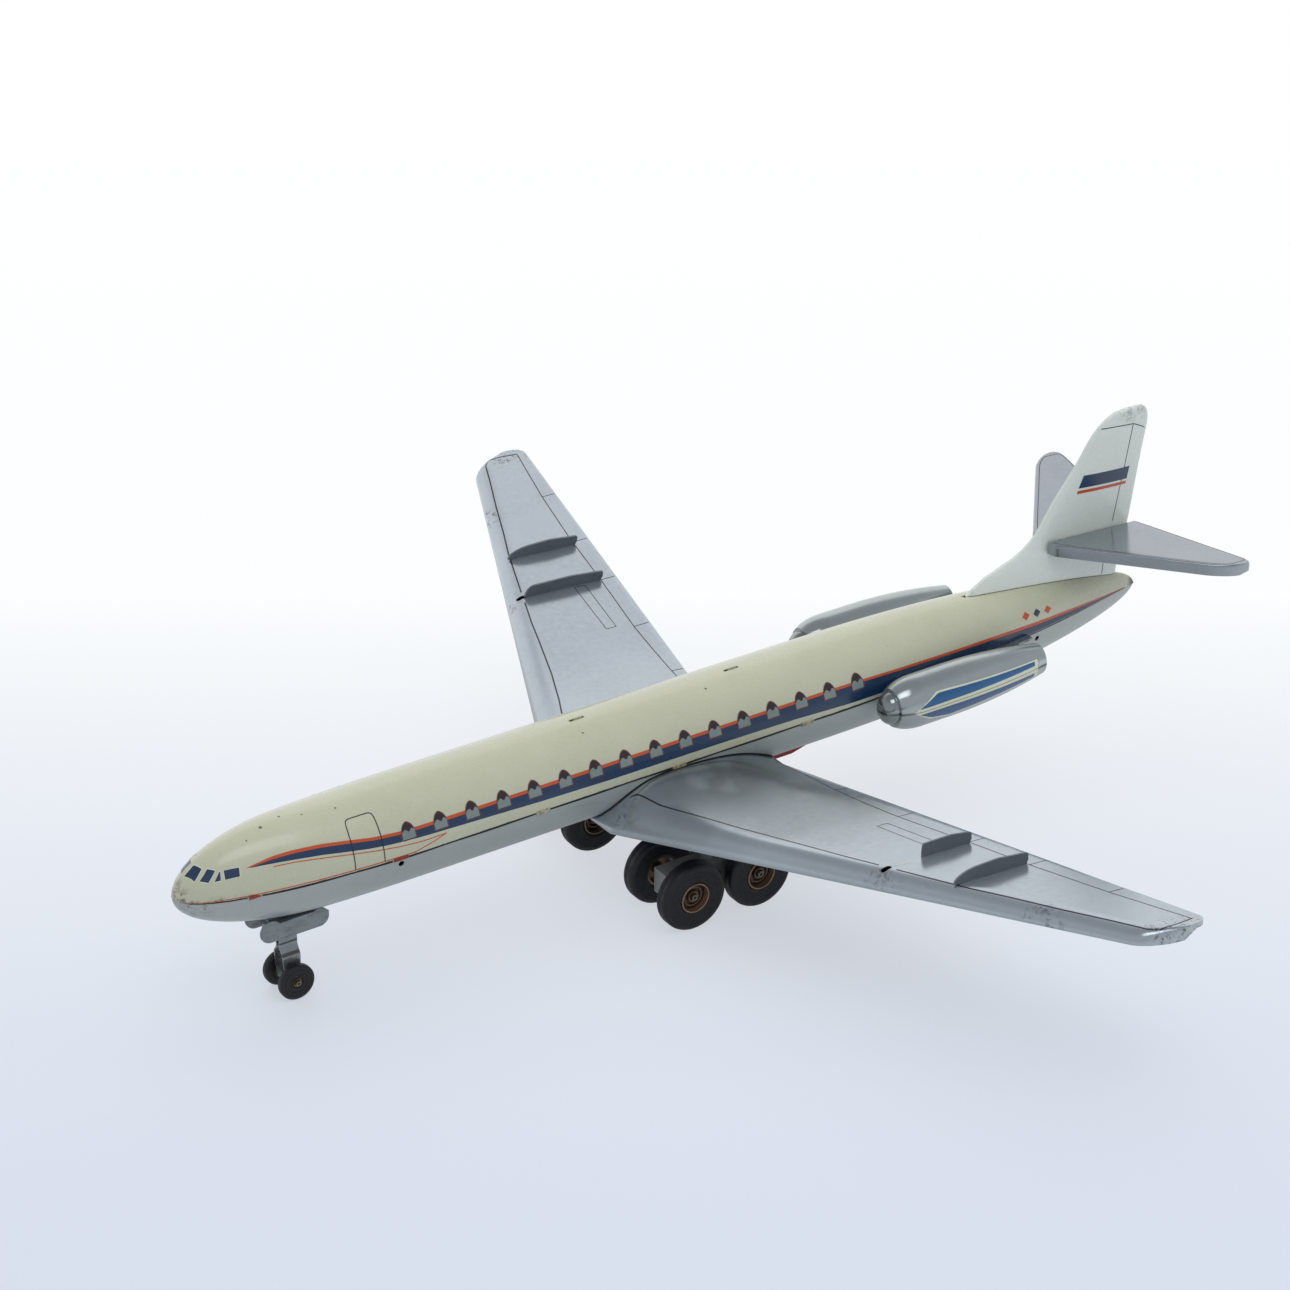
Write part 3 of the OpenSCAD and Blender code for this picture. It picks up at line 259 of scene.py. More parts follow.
def fade(tree, value, low, high, out_low=0.0, out_high=1.0):
    spread = add_node(tree, "MapRange", clamp=True)
    for name, number in (("From Min", low), ("From Max", high),
                         ("To Min", out_low), ("To Max", out_high)):
        spread.inputs[name].default_value = number
    tree.links.new(value, spread.inputs["Value"])
    return spread.outputs["Result"]


def combine(tree, operation, first, second):
    sum_node = add_node(tree, "Math", operation=operation, use_clamp=True)
    for socket, value in zip(sum_node.inputs, (first, second)):
        if isinstance(value, (int, float)):
            socket.default_value = value
        else:
            tree.links.new(value, socket)
    return sum_node.outputs["Value"]


def times(tree, first, second):
    return combine(tree, "MULTIPLY", first, second)


def stronger(tree, first, second):
    return combine(tree, "MAXIMUM", first, second)


def blend(tree, share, first, second):
    mixer = add_node(tree, "Mix", data_type="RGBA")
    for socket, value in ((mixer.inputs[0], share), (mixer.inputs[6], first), (mixer.inputs[7], second)):
        if isinstance(value, (int, float, list, tuple)):
            socket.default_value = value
        else:
            tree.links.new(value, socket)
    return mixer.outputs[2]

# %% [markdown]
# ## Masks by place
# Wear sits in certain places. One mask is a soft ball round a point, and can be squeezed
# along an axis. The other is a soft step along an axis, such as just below the seam.

# %% Mask helpers
def near(tree, x, y, z, reach, feather, stretch=(1, 1, 1)):
    where = add_node(tree, "TexCoord")
    mapping = add_node(tree, "Mapping")
    centre = place(x, y, z)
    mapping.inputs["Location"].default_value = [-c * s for c, s in zip(centre, stretch)]
    mapping.inputs["Scale"].default_value = stretch
    length = add_node(tree, "VectorMath", operation="LENGTH")
    tree.links.new(where.outputs["Object"], mapping.inputs["Vector"])
    tree.links.new(mapping.outputs["Vector"], length.inputs[0])
    return fade(tree, length.outputs["Value"], reach * MM, (reach - feather) * MM)


def along_axis(tree, axis, low, high):
    where = add_node(tree, "TexCoord")
    split = add_node(tree, "SeparateXYZ")
    tree.links.new(where.outputs["Object"], split.inputs["Vector"])
    return fade(tree, split.outputs[axis], low * MM, high * MM)

# %% [markdown]
# ## One recipe for coats on tin
# Print, lacquer and silver paint behave alike: a coat of colour over bright metal, with
# bare or rusty spots where it has gone. So one recipe makes them all. It takes the colour,
# how metallic and how glossy the coat is, and how much it has suffered.

# %% The coat recipe
def coat(name, tone, deeper, gloss, scratch, specks, chip, relief,
         metal=0.0, lacquer=0.0, drawn=(1, 14, 14), waves=0.0, extra=None):
    material = bpy.data.materials.new(name)
    material.use_nodes = True
    tree = material.node_tree
    shader = tree.nodes["Principled BSDF"]
    clean, dull = colour(tone), colour(deeper)
    slow = fade(tree, grain(tree, 34, detail=3), 0.35, 0.7)
    fine = fade(tree, grain(tree, 2.6, detail=6, roughness=0.7), 0.3, 0.75)
    tint = blend(tree, times(tree, slow, fine), clean, dull)
    hair = fade(tree, grain(tree, 9, detail=8, roughness=0.75, stretch=drawn), 0.62, 0.72)
    light = [min(1, c * 1.28 + 0.03) for c in clean[:3]] + [1]
    tint = blend(tree, times(tree, hair, scratch), tint, light)
    dots = fade(tree, grain(tree, 2.1, detail=2, offset=(3, 7, 1)), 0.755, 0.775)
    where_dots = fade(tree, grain(tree, 26, detail=2, offset=(9, 2, 5)), 0.54, 0.66)
    spots = times(tree, times(tree, dots, where_dots), specks)
    tint = blend(tree, spots, tint, colour(chip))
    wear_and_shade = spots
    # Extra marks carry real wear, and on some coats also painted shade and a painted reflection.
    if extra:
        for mask, code, strength in extra(tree):
            share = times(tree, mask, strength)
            tint = blend(tree, share, tint, colour(code))
            wear_and_shade = stronger(tree, wear_and_shade, share)
    tree.links.new(tint, shader.inputs["Base Color"])
    rough = fade(tree, stronger(tree, fine, stronger(tree, hair, wear_and_shade)), 0.2, 1.0, *gloss)
    tree.links.new(rough, shader.inputs["Roughness"])
    shader.inputs["Metallic"].default_value = metal
    shader.inputs["Coat Weight"].default_value = lacquer
    shader.inputs["Coat Roughness"].default_value = 0.12
    bump = add_node(tree, "Bump")
    bump.inputs["Strength"].default_value = 0.5
    bump.inputs["Distance"].default_value = relief * MM
    low_spots = stronger(tree, times(tree, hair, scratch * 0.5), wear_and_shade)
    heights = combine(tree, "SUBTRACT", fade(tree, fine, 0, 1, 0.75, 0.85), low_spots)
    tree.links.new(heights, bump.inputs["Height"])
    if waves:
        dents = add_node(tree, "Bump")
        dents.inputs["Strength"].default_value = 0.6
        dents.inputs["Distance"].default_value = waves * MM
        tree.links.new(grain(tree, 46, detail=1, offset=(5, 3, 8)), dents.inputs["Height"])
        tree.links.new(dents.outputs["Normal"], bump.inputs["Normal"])
    tree.links.new(bump.outputs["Normal"], shader.inputs["Normal"])
    return material

# %% [markdown]
# ## The coats of this toy
# The top half is printed cream, the wings and the belly are silver lacquer, the fin is a
# cool white. Extra wear goes where hands and floors reach it: rust at the nose seam, rubbed
# paint along the leading edges and at the wing tips. The belly gets painted shade close to
# the long seam, and the root of the left wing a painted dark reflection.

# %% Wear, painted shade and a painted reflection on the body and the wings
CROWN_CHIPS = ((201, 0.9, 85.2, 0.7), (210.6, 3, 84.3, 0.9), (177.9, 6.3, 84.3, 0.6),
    (192.2, 4, 84.8, 0.5), (236.7, -3.8, 76.7, 0.8), (218.5, 5.7, 82.1, 0.5),
    (60, 9, 83.4, 0.6), (-4, 7, 84.1, 0.7))


def nose_rust(tree):
    ragged = fade(tree, grain(tree, 3.2, detail=6, roughness=0.75), 0.47, 0.6)
    tip = times(tree, near(tree, 249, 0, 63, 9, 5), ragged)
    seam = times(tree, along_axis(tree, "Z", 62.45, 62.1),
        fade(tree, grain(tree, 5, detail=5, offset=(4, 1, 8)), 0.52, 0.62))
    front_seam = times(tree, times(tree, along_axis(tree, "Z", 64.6, 62.4),
        near(tree, 240, 0, 62, 28, 16)), ragged)
    shares = [(seam, "#3c3028", 0.6), (front_seam, "#5a3524", 0.85), (tip, "#5a3a28", 0.95)]
    shares.append((near(tree, -251, 0, 63, 6.5, 3), "#3a2f2a", 0.85))
    for x, y, z, size in CROWN_CHIPS:
        shares.append((near(tree, x, y, z, size, size * 0.5), "#3f4a3c", 0.95))
    return shares


def belly_scuffs_and_seam_shade(tree):
    ragged = fade(tree, grain(tree, 2.2, detail=6, roughness=0.8, stretch=(0.6, 1, 1.5)), 0.5, 0.62)
    tip = times(tree, near(tree, 243, 6, 59, 9, 5), ragged)
    # Painted shade: the belly is darkened just under the seam, where the cream shell overlaps it.
    seam_shade = times(tree, along_axis(tree, "Z", 60.6, 61.8),
        fade(tree, grain(tree, 11, detail=5), 0.35, 0.65))
    return [(seam_shade, "#6c6f71", 0.5), (tip, "#6b5a4e", 0.8)]


def wing_wear_and_reflection(tree):
    ragged = fade(tree, grain(tree, 3.4, detail=7, roughness=0.8, offset=(2, 5, 3)), 0.52, 0.6)
    shares = []
    for side in (1, -1):
        tip_place = near(tree, -58, side * 254, 74, 12, 6, (0.6, 1, 1))
        tip = times(tree, tip_place, ragged)
        tip_dirt = times(tree, tip_place,
            fade(tree, grain(tree, 2.2, detail=7, roughness=0.8, offset=(7, 1, 9)), 0.54, 0.6))
        lead = times(tree, near(tree, 4.5, side * 143, 62, 8, 5, (0.7, 0.7, 1)), ragged)
        knock = times(tree, near(tree, -26, side * 211, 68, 7, 4, (0.6, 0.6, 1)), ragged)
        root = times(tree, near(tree, 54, side * 27, 50, 10, 7), ragged)
        shares += [(tip, "#c9cdcf", 0.7), (tip_dirt, "#33302c", 0.8), (lead, "#4c4a48", 0.5),
            (knock, "#37342f", 0.7), (root, "#403c3a", 0.7)]
    # Painted reflection: the root of the left wing is darkened as if it mirrored the body beside it.
    root_reflection = times(tree, near(tree, 6, 40, 55, 52, 44, (0.8, 1, 1)),
        fade(tree, grain(tree, 30, detail=2, offset=(6, 2, 2)), 0.1, 0.45))
    return shares + [(root_reflection, "#4e5557", 0.8)]


print("chips along the crown:", len(CROWN_CHIPS))

# %% [markdown]
# ## Wear and painted shade of the small parts and the tail
# The nose fork has painted shade in its creases and is rusty at its joint, its bracket is
# rubbed and pitted, the folded tabs have rusted, and the fin is scuffed at its tip and at its foot.

# %% Wear and painted crease shade of the small parts
def small_wear(tree):
    ragged = fade(tree, grain(tree, 2.4, detail=7, roughness=0.8), 0.46, 0.58)
    joint = times(tree, near(tree, 200, 0, 14, 9, 5), ragged)
    seam = times(tree, times(tree, along_axis(tree, "Z", 61.2, 61.9),
        along_axis(tree, "Z", 62.9, 62.1)), fade(tree, grain(tree, 9, detail=5), 0.3, 0.6))
    return [(joint, "#5f4634", 0.8), (seam, "#2f2c2a", 0.85)]


def strut_wear_and_crease_shade(tree):
    crease_shades = []
    # Painted shade: two dark bands across the fork, where its folds would lie in shade.
    for low, high in ((19.6, 20.6), (24.6, 25.2)):
        crease_shade = times(tree, along_axis(tree, "Z", low - 0.35, low),
            along_axis(tree, "Z", high + 0.35, high))
        crease_shades.append((crease_shade, "#2b2d2f", 0.75))
    return crease_shades + small_wear(tree)


def bracket_wear(tree):
    rubbed = fade(tree, grain(tree, 7, detail=7, roughness=0.8, stretch=(0.6, 1, 2.2)), 0.5, 0.62)
    bitten = fade(tree, grain(tree, 1.8, detail=5, roughness=0.8, offset=(4, 4, 1)), 0.58, 0.64)
    return [(rubbed, "#4b5056", 0.55), (bitten, "#a9aeb2", 0.35)]


def tab_rust(tree):
    ragged = fade(tree, grain(tree, 2.0, detail=6, roughness=0.8), 0.42, 0.56)
    return [(ragged, "#4a3222", 0.7)]


def tail_rub(tree):
    ragged = fade(tree, grain(tree, 2.8, detail=7, roughness=0.8), 0.5, 0.6)
    tip = times(tree, near(tree, -243, 0, 154, 11, 7), ragged)
    foot = times(tree, near(tree, -148, 0, 86, 7, 5), ragged)
    return [(tip, "#6d6a62", 0.6), (foot, "#4a4540", 0.7)]

# %% [markdown]
# ## Silver, cream and bare tin
# Silver lacquer is a coat with much metal in it and a smooth, even shine. The belly is
# duller than the wings. Cream and white hold no metal and lie under a clear lacquer instead.
# The bare tin of the bogies, the nose gear and the wing fences is greyer and more scratched.

# %% Mix the coats of the pressings
cream = coat("cream_print", "#b9baa2", deeper="#aeaf97", gloss=(0.27, 0.29), scratch=0.03,
    specks=0.75, chip="#5a4c36", lacquer=0.45, relief=0.004, waves=0.1, extra=nose_rust)
silver_belly = coat("silver_belly", "#aab0af", deeper="#9fa6a5", metal=0.4, gloss=(0.3, 0.38),
    scratch=0.12, specks=0.8, chip="#45423e", relief=0.005, waves=0.12, extra=belly_scuffs_and_seam_shade)
silver_wing = coat("silver_wing", "#b7c0c8", deeper="#abb4bc", metal=0.8, gloss=(0.18, 0.28),
    scratch=0.4, specks=0.8, chip="#3f3c3a", relief=0.025, drawn=(9, 2, 9), waves=0.35, extra=wing_wear_and_reflection)
silver_tail = coat("silver_tail", "#a1a8af", deeper="#939ba2", metal=0.85, gloss=(0.14, 0.24),
    scratch=0.4, specks=0.8, chip="#3a3735", relief=0.02, waves=0.15, extra=tail_rub)
silver_small = coat("silver_small", "#b4bcbe", deeper="#a7afb2", metal=0.82, gloss=(0.14, 0.24),
    scratch=0.35, specks=0.5, chip="#46423e", relief=0.02, waves=0.12, extra=small_wear)
fin_white = coat("fin_white", "#d9dfd7", deeper="#ccd3cc", gloss=(0.22, 0.36), scratch=0.2,
    specks=0.8, chip="#6a5c4c", lacquer=0.3, relief=0.03, extra=tail_rub)
grey_tin = coat("grey_tin", "#6c737b", deeper="#565d66", metal=0.5, gloss=(0.3, 0.5),
    scratch=0.7, specks=0.8, chip="#2f2a26", relief=0.06, drawn=(3, 9, 9))
bracket_tin = coat("bracket_tin", "#91979b", deeper="#6f757a", metal=0.6, gloss=(0.26, 0.44),
    scratch=1.0, specks=1.0, chip="#2f2a26", relief=0.04, drawn=(4, 9, 6), waves=0.1, extra=bracket_wear)
intake_tin = coat("intake_tin", "#a2a9ab", deeper="#7f868a", metal=0.9, gloss=(0.1, 0.22),
    scratch=0.4, specks=0.7, chip="#2a2624", relief=0.03, waves=0.15, extra=small_wear)
bogie_tin = coat("bogie_tin", "#9c9f9d", deeper="#7f8382", metal=0.3, gloss=(0.3, 0.46),
    scratch=0.7, specks=0.9, chip="#4a3a2c", relief=0.04, drawn=(4, 9, 6), waves=0.1)
strut_tin = coat("strut_tin", "#979fa3", deeper="#7c848a", metal=0.75, gloss=(0.2, 0.34),
    scratch=0.9, specks=1.0, chip="#3c342c", relief=0.04, drawn=(9, 2, 9), waves=0.2, extra=strut_wear_and_crease_shade)
bare_steel = coat("bare_steel", "#7a746d", deeper="#5f5a54", metal=0.9, gloss=(0.28, 0.5),
    scratch=0.5, specks=0.6, chip="#4a3a30", relief=0.04)
print("coats for the pressings:", len(bpy.data.materials))

# %% [markdown]
# ## Printing inks
# The inks were rolled on to the flat sheet before it was cut and pressed. Each is a coat
# with no metal in it and a little gloss. Most lie under a clear lacquer, as the cream does.

# %% Mix the inks
navy = coat("navy_print", "#0f3052", deeper="#0c2945", gloss=(0.24, 0.3), scratch=0.15,
    specks=0.5, chip="#8f9080", lacquer=0.35, relief=0.005)
orange = coat("orange_print", "#bd4a17", deeper="#a84112", gloss=(0.24, 0.3), scratch=0.15,
    specks=0.5, chip="#7a5a48", lacquer=0.35, relief=0.005)
line_ink = coat("line_ink", "#1a1f24", deeper="#2a3036", gloss=(0.25, 0.4), scratch=0.3,
    specks=0.9, chip="#8a8f92", relief=0.02)
panel_blue = coat("panel_blue", "#0b5789", deeper="#094d7b", gloss=(0.2, 0.34), scratch=0.25,
    specks=0.4, chip="#a8b0b4", lacquer=0.35, relief=0.02)
panel_dusk = coat("panel_dusk", "#325a87", deeper="#2b4e78", gloss=(0.2, 0.34), scratch=0.3,
    specks=0.5, chip="#9aa2a8", lacquer=0.35, relief=0.02)
panel_cream = coat("panel_cream", "#d3d5bb", deeper="#c5c7ab", gloss=(0.22, 0.36), scratch=0.2,
    specks=0.7, chip="#6a5c44", lacquer=0.3, relief=0.02)
pane_border = coat("pane_border", "#cbcdb9", deeper="#c0c2ac", gloss=(0.2, 0.34), scratch=0.2,
    specks=0.6, chip="#6a5c44", lacquer=0.35, relief=0.02)
curtain = coat("curtain_print", "#28131c", deeper="#200e16", gloss=(0.22, 0.36), scratch=0.3,
    specks=0.6, chip="#9a8a84", lacquer=0.35, relief=0.02)
window_rim = coat("window_rim", "#5f3a36", deeper="#4c2a2a", gloss=(0.22, 0.36), scratch=0.3,
    specks=0.5, chip="#b09a8c", lacquer=0.35, relief=0.02)
window_glass = coat("window_glass", "#788582", deeper="#5e6e6e", gloss=(0.18, 0.32), scratch=0.9,
    specks=0.8, chip="#e0e4dc", lacquer=0.4, relief=0.02, drawn=(3, 3, 2))
cab_glass = coat("cab_glass", "#173353", deeper="#122b47", gloss=(0.16, 0.28), scratch=0.4,
    specks=0.4, chip="#8a94a4", lacquer=0.45, relief=0.02)
print("coats with the inks:", len(bpy.data.materials))

# %% [markdown]
# ## Coats of tabs, brass, iron and gaps
# The folded tabs show worn print. Brass, iron and red paint belong to the friction drive,
# old brass to the washers of the nose wheels, and a nearly black coat fills the open gaps.

# %% Mix the remaining coats
tab_red = coat("tab_red", "#8e3220", deeper="#5f2418", gloss=(0.26, 0.44), scratch=0.4,
    specks=1.0, chip="#3c2a20", relief=0.04)
tab_cream = coat("tab_cream", "#b3aa8a", deeper="#98906f", gloss=(0.26, 0.44), scratch=0.4,
    specks=1.0, chip="#3c2a20", relief=0.04, extra=tab_rust)
old_brass = coat("old_brass", "#7c6444", deeper="#5c4a34", metal=0.8, gloss=(0.24, 0.42), scratch=0.4,
    specks=0.8, chip="#33271a", relief=0.03)
scraped = coat("scraped_silver", "#c9cdcf", deeper="#9a9fa2", metal=0.85, gloss=(0.2, 0.4), scratch=0.9,
    specks=1.0, chip="#4a4642", relief=0.06)
grime_ink = coat("seam_grime", "#453b33", deeper="#5a4e42", gloss=(0.4, 0.6), scratch=0.2,
    specks=0.6, chip="#20201e", relief=0.03)
red_paint = coat("red_paint", "#8c1e20", deeper="#741a1c", gloss=(0.24, 0.4), scratch=0.4,
    specks=0.8, chip="#5c544c", relief=0.04)
brass = coat("brass", "#b08d4a", deeper="#8f6f38", metal=0.9, gloss=(0.22, 0.4), scratch=0.4,
    specks=0.5, chip="#4c3a22", relief=0.03)
cast_iron = coat("cast_iron", "#4b4a49", deeper="#3a3938", metal=0.6, gloss=(0.5, 0.7),
    scratch=0.2, specks=0.8, chip="#6a4634", relief=0.25, drawn=(1, 1, 1))
black_gap = coat("black_gap", "#15161a", deeper="#1e1f22", gloss=(0.5, 0.7), scratch=0.1,
    specks=0.2, chip="#3c3c3c", relief=0.02)
print("coats mixed:", len(bpy.data.materials))

# %% [markdown]
# ## The fuselage
# The body is two half tubes. Its width, back and belly are three separate curves. All are
# straight in the middle and a quarter of an ellipse at the nose. At the tail the width
# draws in slowly to a narrow edge, and back and belly end in long quarter ellipses. Rings
# of points follow the curves at many stations, which crowd together towards both ends.

# %% Curves of the fuselage
FUSELAGE_Z = 62
FUSELAGE_R = 23.25
NOSE_X = 250
NOSE_LIMIT = 249.8
TAIL_X = -250
TAIL_EDGE = 0.9
STRAIGHT_SIDES = (-60, 140)
STRAIGHT_BACK = (-90, 199)
STRAIGHT_BELLY = (-100, 181)
LAP = 0.35
SHEET = 0.5
END_STATIONS = 44
TURN_STEPS = 56


def quarter(x, start, end):
    return sqrt(max(0.0, 1 - ((x - start) / (end - start)) ** 2))


def half_width(x):
    rear, front = STRAIGHT_SIDES
    if x > front:
        return FUSELAGE_R * quarter(x, front, NOSE_X)
    if x < rear:
        return TAIL_EDGE + (FUSELAGE_R - TAIL_EDGE) * (1 - ((rear - x) / (rear - TAIL_X)) ** 1.88)
    return FUSELAGE_R


def rounded_off(x, straight):
    rear, front = straight
    if x > front:
        return FUSELAGE_R * quarter(x, front, NOSE_X)
    if x < rear:
        return FUSELAGE_R * quarter(x, rear, TAIL_X)
    return FUSELAGE_R


def top_height(x):
    return rounded_off(x, STRAIGHT_BACK)


def belly_depth(x):
    return rounded_off(x, STRAIGHT_BELLY)


def rings(side, inset):
    rear, front = STRAIGHT_SIDES
    ends = [radians(89.8) * i / END_STATIONS for i in range(END_STATIONS + 1)]
    stations = [rear - (rear - TAIL_X) * sin(a) for a in reversed(ends)]
    stations += [rear + (front - rear) * i / 8 for i in range(1, 8)]
    stations += [front + (NOSE_X - front) * sin(a) for a in ends]
    rows = []
    for x in stations:
        height = top_height(x) if side > 0 else belly_depth(x)
        rows.append([(x, max(0, half_width(x) - inset) * cos(pi * i / TURN_STEPS),
            FUSELAGE_Z + side * max(0, height - inset) * sin(pi * i / TURN_STEPS))
            for i in range(TURN_STEPS + 1)])
    rows.append([(NOSE_X - inset * 0.3, 0, FUSELAGE_Z)] * (TURN_STEPS + 1))
    return [[(min(NOSE_LIMIT, x), y, z) for x, y, z in row] for row in rows]


print("fuselage", NOSE_X - TAIL_X, "mm long and", 2 * FUSELAGE_R, "mm across")

# %% [markdown]
# ## Top shell
# The cream half carries all the print. Two narrow slots are cut through its spine, and a
# small three-sided nick is punched ahead of the fin.

# %% Press the top shell
top_shell = pressing("top_shell", rings(1, 0), (0, 0, FUSELAGE_Z), SHEET)
lug_stations = (57.5, -22)
cut(top_shell, *[block(x, 0, FUSELAGE_Z + FUSELAGE_R, (7.4, 1.5, 4)) for x in lug_stations])
nick = rod(-149.6, 0, 84.2, 1.5, 6, "Z", sides=3)
cut(top_shell, nick)
print("top shell pressed, faces:", len(top_shell.data.polygons))

# %% [markdown]
# ## Tabs and lugs
# Along the seam the top shell has small tabs that were folded over the belly, and in the
# slots the ends of two inner lugs show. All are small bevelled blocks. The lugs become part
# of the shell, and the tabs are pieces of their own, because their print has worn.

# %% Fold the tabs and stand up the lugs
def folded_tab(x, side, length=6.8, drop=1.4):
    tab = block(x, side * (half_width(x) + 0.02), FUSELAGE_Z - drop / 2 + 0.2, (length, 0.55, drop + 0.5))
    modify(tab, "BEVEL", width=0.18 * MM, segments=2)
    return tab


cream_tabs = join("cream_tabs", [folded_tab(x, side) for x in (88.9, 20.2, -46.8) for side in (1, -1)])
give(cream_tabs, tab_cream)
lugs = []
for x in lug_stations:
    lug = block(x - 0.6, 0, FUSELAGE_Z + FUSELAGE_R + 0.1, (4.6, 0.7, 1.5))
    modify(lug, "BEVEL", width=0.3 * MM, segments=3)
    lugs.append(lug)
top_shell = join("top_shell", [top_shell] + lugs)
give(top_shell, cream, stands_for=("fuselage_top_shell",))
red_tabs = join("red_tabs", [folded_tab(x, side, length, 1.0) for x, length in ((157.3, 6.8), (221, 5.4))
    for side in (1, -1)])
give(red_tabs, tab_red)
print("top shell with its lugs, faces:", len(top_shell.data.polygons))

# %% [markdown]
# ## Belly shell
# The silver half sits a third of a millimetre inside the cream one, which leaves the dark
# step of the seam. Punched holes for the assembly jig show on both sides, and an opening lets
# the friction drive stand out below.

# %% Press the belly shell
belly_rows = [[(x, y, z - 0.05) for x, y, z in row] for row in rings(-1, LAP)]
belly_shell = pressing("belly_shell", belly_rows, (0, 0, FUSELAGE_Z), SHEET)
drive_opening = block(-11.5, 0, 50.1, (91.2, 18.8, 23.3))
jig_front = rod(157, 0, 58.8, 1.3, 60, "Y")
jig_rear = rod(-183.3, 0, 57.8, 1.3, 60, "Y")
rivet_hole = rod(201.5, 0, 40, 2.7, 10, "Z")
cut(belly_shell, drive_opening, jig_front, jig_rear, rivet_hole)
smooth(belly_shell, 40)
give(belly_shell, silver_belly, stands_for=("fuselage_bottom_shell",))
print("belly shell faces:", len(belly_shell.data.polygons))

# %% [markdown]
# ## Closing an open end
# A grid has open sides. Where the real sheet turns down over the end as well, the edges
# there are selected by their place and filled with one face.

# %% Fill the edges that lie in a slice across the toy
def close_end(piece, low_y, high_y):
    mesh = piece.data
    for part in (mesh.polygons, mesh.edges, mesh.vertices):
        part.foreach_set("select", [False] * len(part))
    for edge in mesh.edges:
        ends = [mesh.vertices[i].co.y / MM for i in edge.vertices]
        edge.select = low_y < min(ends) and max(ends) < high_y
    only(piece)
    bpy.ops.object.mode_set(mode="EDIT")
    bpy.ops.mesh.select_mode(type="EDGE")
    bpy.ops.mesh.edge_face_add()
    bpy.ops.mesh.select_mode(type="VERT")
    done()

# %% [markdown]
# ## Wings
# Each wing is one deep pressing: a flat top that rises outwards and forwards, a rounded
# leading edge that turns down, a low rim behind, and a swelling that hugs the fuselage. The
# tip corners are parts of ellipses. Sections across the wing are worked out at many places
# along the span and the grid is laid on them. The second wing is a mirrored copy.

# %% Sections of the wing
SPAN = 256
TIP_FRONT = (10, 16)
TIP_REAR = (5, 7)
SWELL_REACH = 65
SWELL_HEIGHT = 11.8
RIM_BEHIND = 2.4
WING_NOSE_STEPS = 14
WING_TOP_STEPS = 20


def corner_round(y, end, corner):
    width, depth = corner
    start = end - width
    return 0 if y < start else depth * (1 - sqrt(max(0, 1 - ((y - start) / width) ** 2)))


def wing_lead(y):
    return 67 - 0.44 * y - corner_round(y, SPAN, TIP_FRONT)


def wing_trail(y):
    return -29.6 - 0.172 * y + corner_round(y, SPAN, TIP_REAR)


def wing_plane(x, y):
    return 44 + 0.0638 * x + 0.1423 * y


def wing_section(y):
    swell = max(0, 1 - (y - FUSELAGE_R) / SWELL_REACH) ** 2
    chord = wing_lead(y) - wing_trail(y)
    depth = 11 - 4.6 * (y - FUSELAGE_R) / (SPAN - FUSELAGE_R)
    nose = min(0.45 * chord, 9 + 14 * swell)
    section = []
    for i in range(WING_NOSE_STEPS + 1):
        turn = pi / 2 * i / WING_NOSE_STEPS
        section.append((nose * (1 - cos(turn)), -depth * (1 - sin(turn))))
    section += [(nose + (chord - nose) * i / WING_TOP_STEPS, 0) for i in range(1, WING_TOP_STEPS + 1)]
    section.append((chord, -RIM_BEHIND))
    points = []
    for back, down in section:
        crown = SWELL_HEIGHT * swell * (1 - abs(2 * back / chord - 1) ** 2.7)
        x = wing_lead(y) - back
        points.append((x, y, wing_plane(x, y) + crown + down))
    return points


print("wing chord at the root:", round(wing_lead(FUSELAGE_R) - wing_trail(FUSELAGE_R), 1), "mm")

# %% Press both wings
root = FUSELAGE_R + 0.1
root_row = [(x, sqrt(max(1, root ** 2 - (z - FUSELAGE_Z) ** 2)), z) for x, y, z in wing_section(root)]
spans = [root + s for s in (1, 3, 5, 7, 10, 13, 17, 21, 26, 31, 37, 43, 50, 58, 66, 80, 100, 125, 150, 175,
    200, 218)]
spans += [SPAN - 10 * c for c in (1, 0.85, 0.7, 0.58, 0.46, 0.35, 0.26, 0.18, 0.11, 0.05, 0.015, 0.0002)]
wing_rows = [root_row] + [wing_section(y) for y in spans]
left_wing = laid_grid("left_wing", wing_rows)
close_end(left_wing, SPAN - 0.01, SPAN + 0.01)
face_away(left_wing, (-20, 120, 40))
modify(left_wing, "SOLIDIFY", thickness=SHEET * MM, offset=-1, use_even_offset=False)
sharp = {"limit_method": "ANGLE", "angle_limit": radians(50)}
modify(left_wing, "BEVEL", width=0.22 * MM, segments=2, **sharp)
spare_slot = block(-1.8, 141, wing_plane(-1.8, 141), (5, 2.4, 5))
modify(spare_slot, "BEVEL", width=1.1 * MM, segments=4, **sharp)
cut(left_wing, spare_slot)
smooth(left_wing, 32)
right_wing = mirrored_copy(left_wing, "right_wing")
for side, wing in (("left", left_wing), ("right", right_wing)):
    give(wing, silver_wing, stands_for=(side + "_wing_top",))
print("wing faces:", len(left_wing.data.polygons))

# %% [markdown]
# ## Engine nacelles
# An engine is two half shells of an oval tube. A closed dome stands in the mouth, then the
# cowl swells out behind it and tapers to an open end. The two left halves are laid on grids,
# and the right ones are mirrored copies of them, each with a mesh of its own.

# %% Radius of a nacelle, going back from the dome
NACELLE_X = -78.2
NACELLE_Y = 33.7
NACELLE_R = 12.2
NACELLE_WIDTH = 0.88
DOME = 6.3
DOME_SHARE = 0.62
COWL_FULL = 20
TAPER_START = 37
NACELLE_END = 88.5
TAPER = 5
NACELLE_STEPS = 28


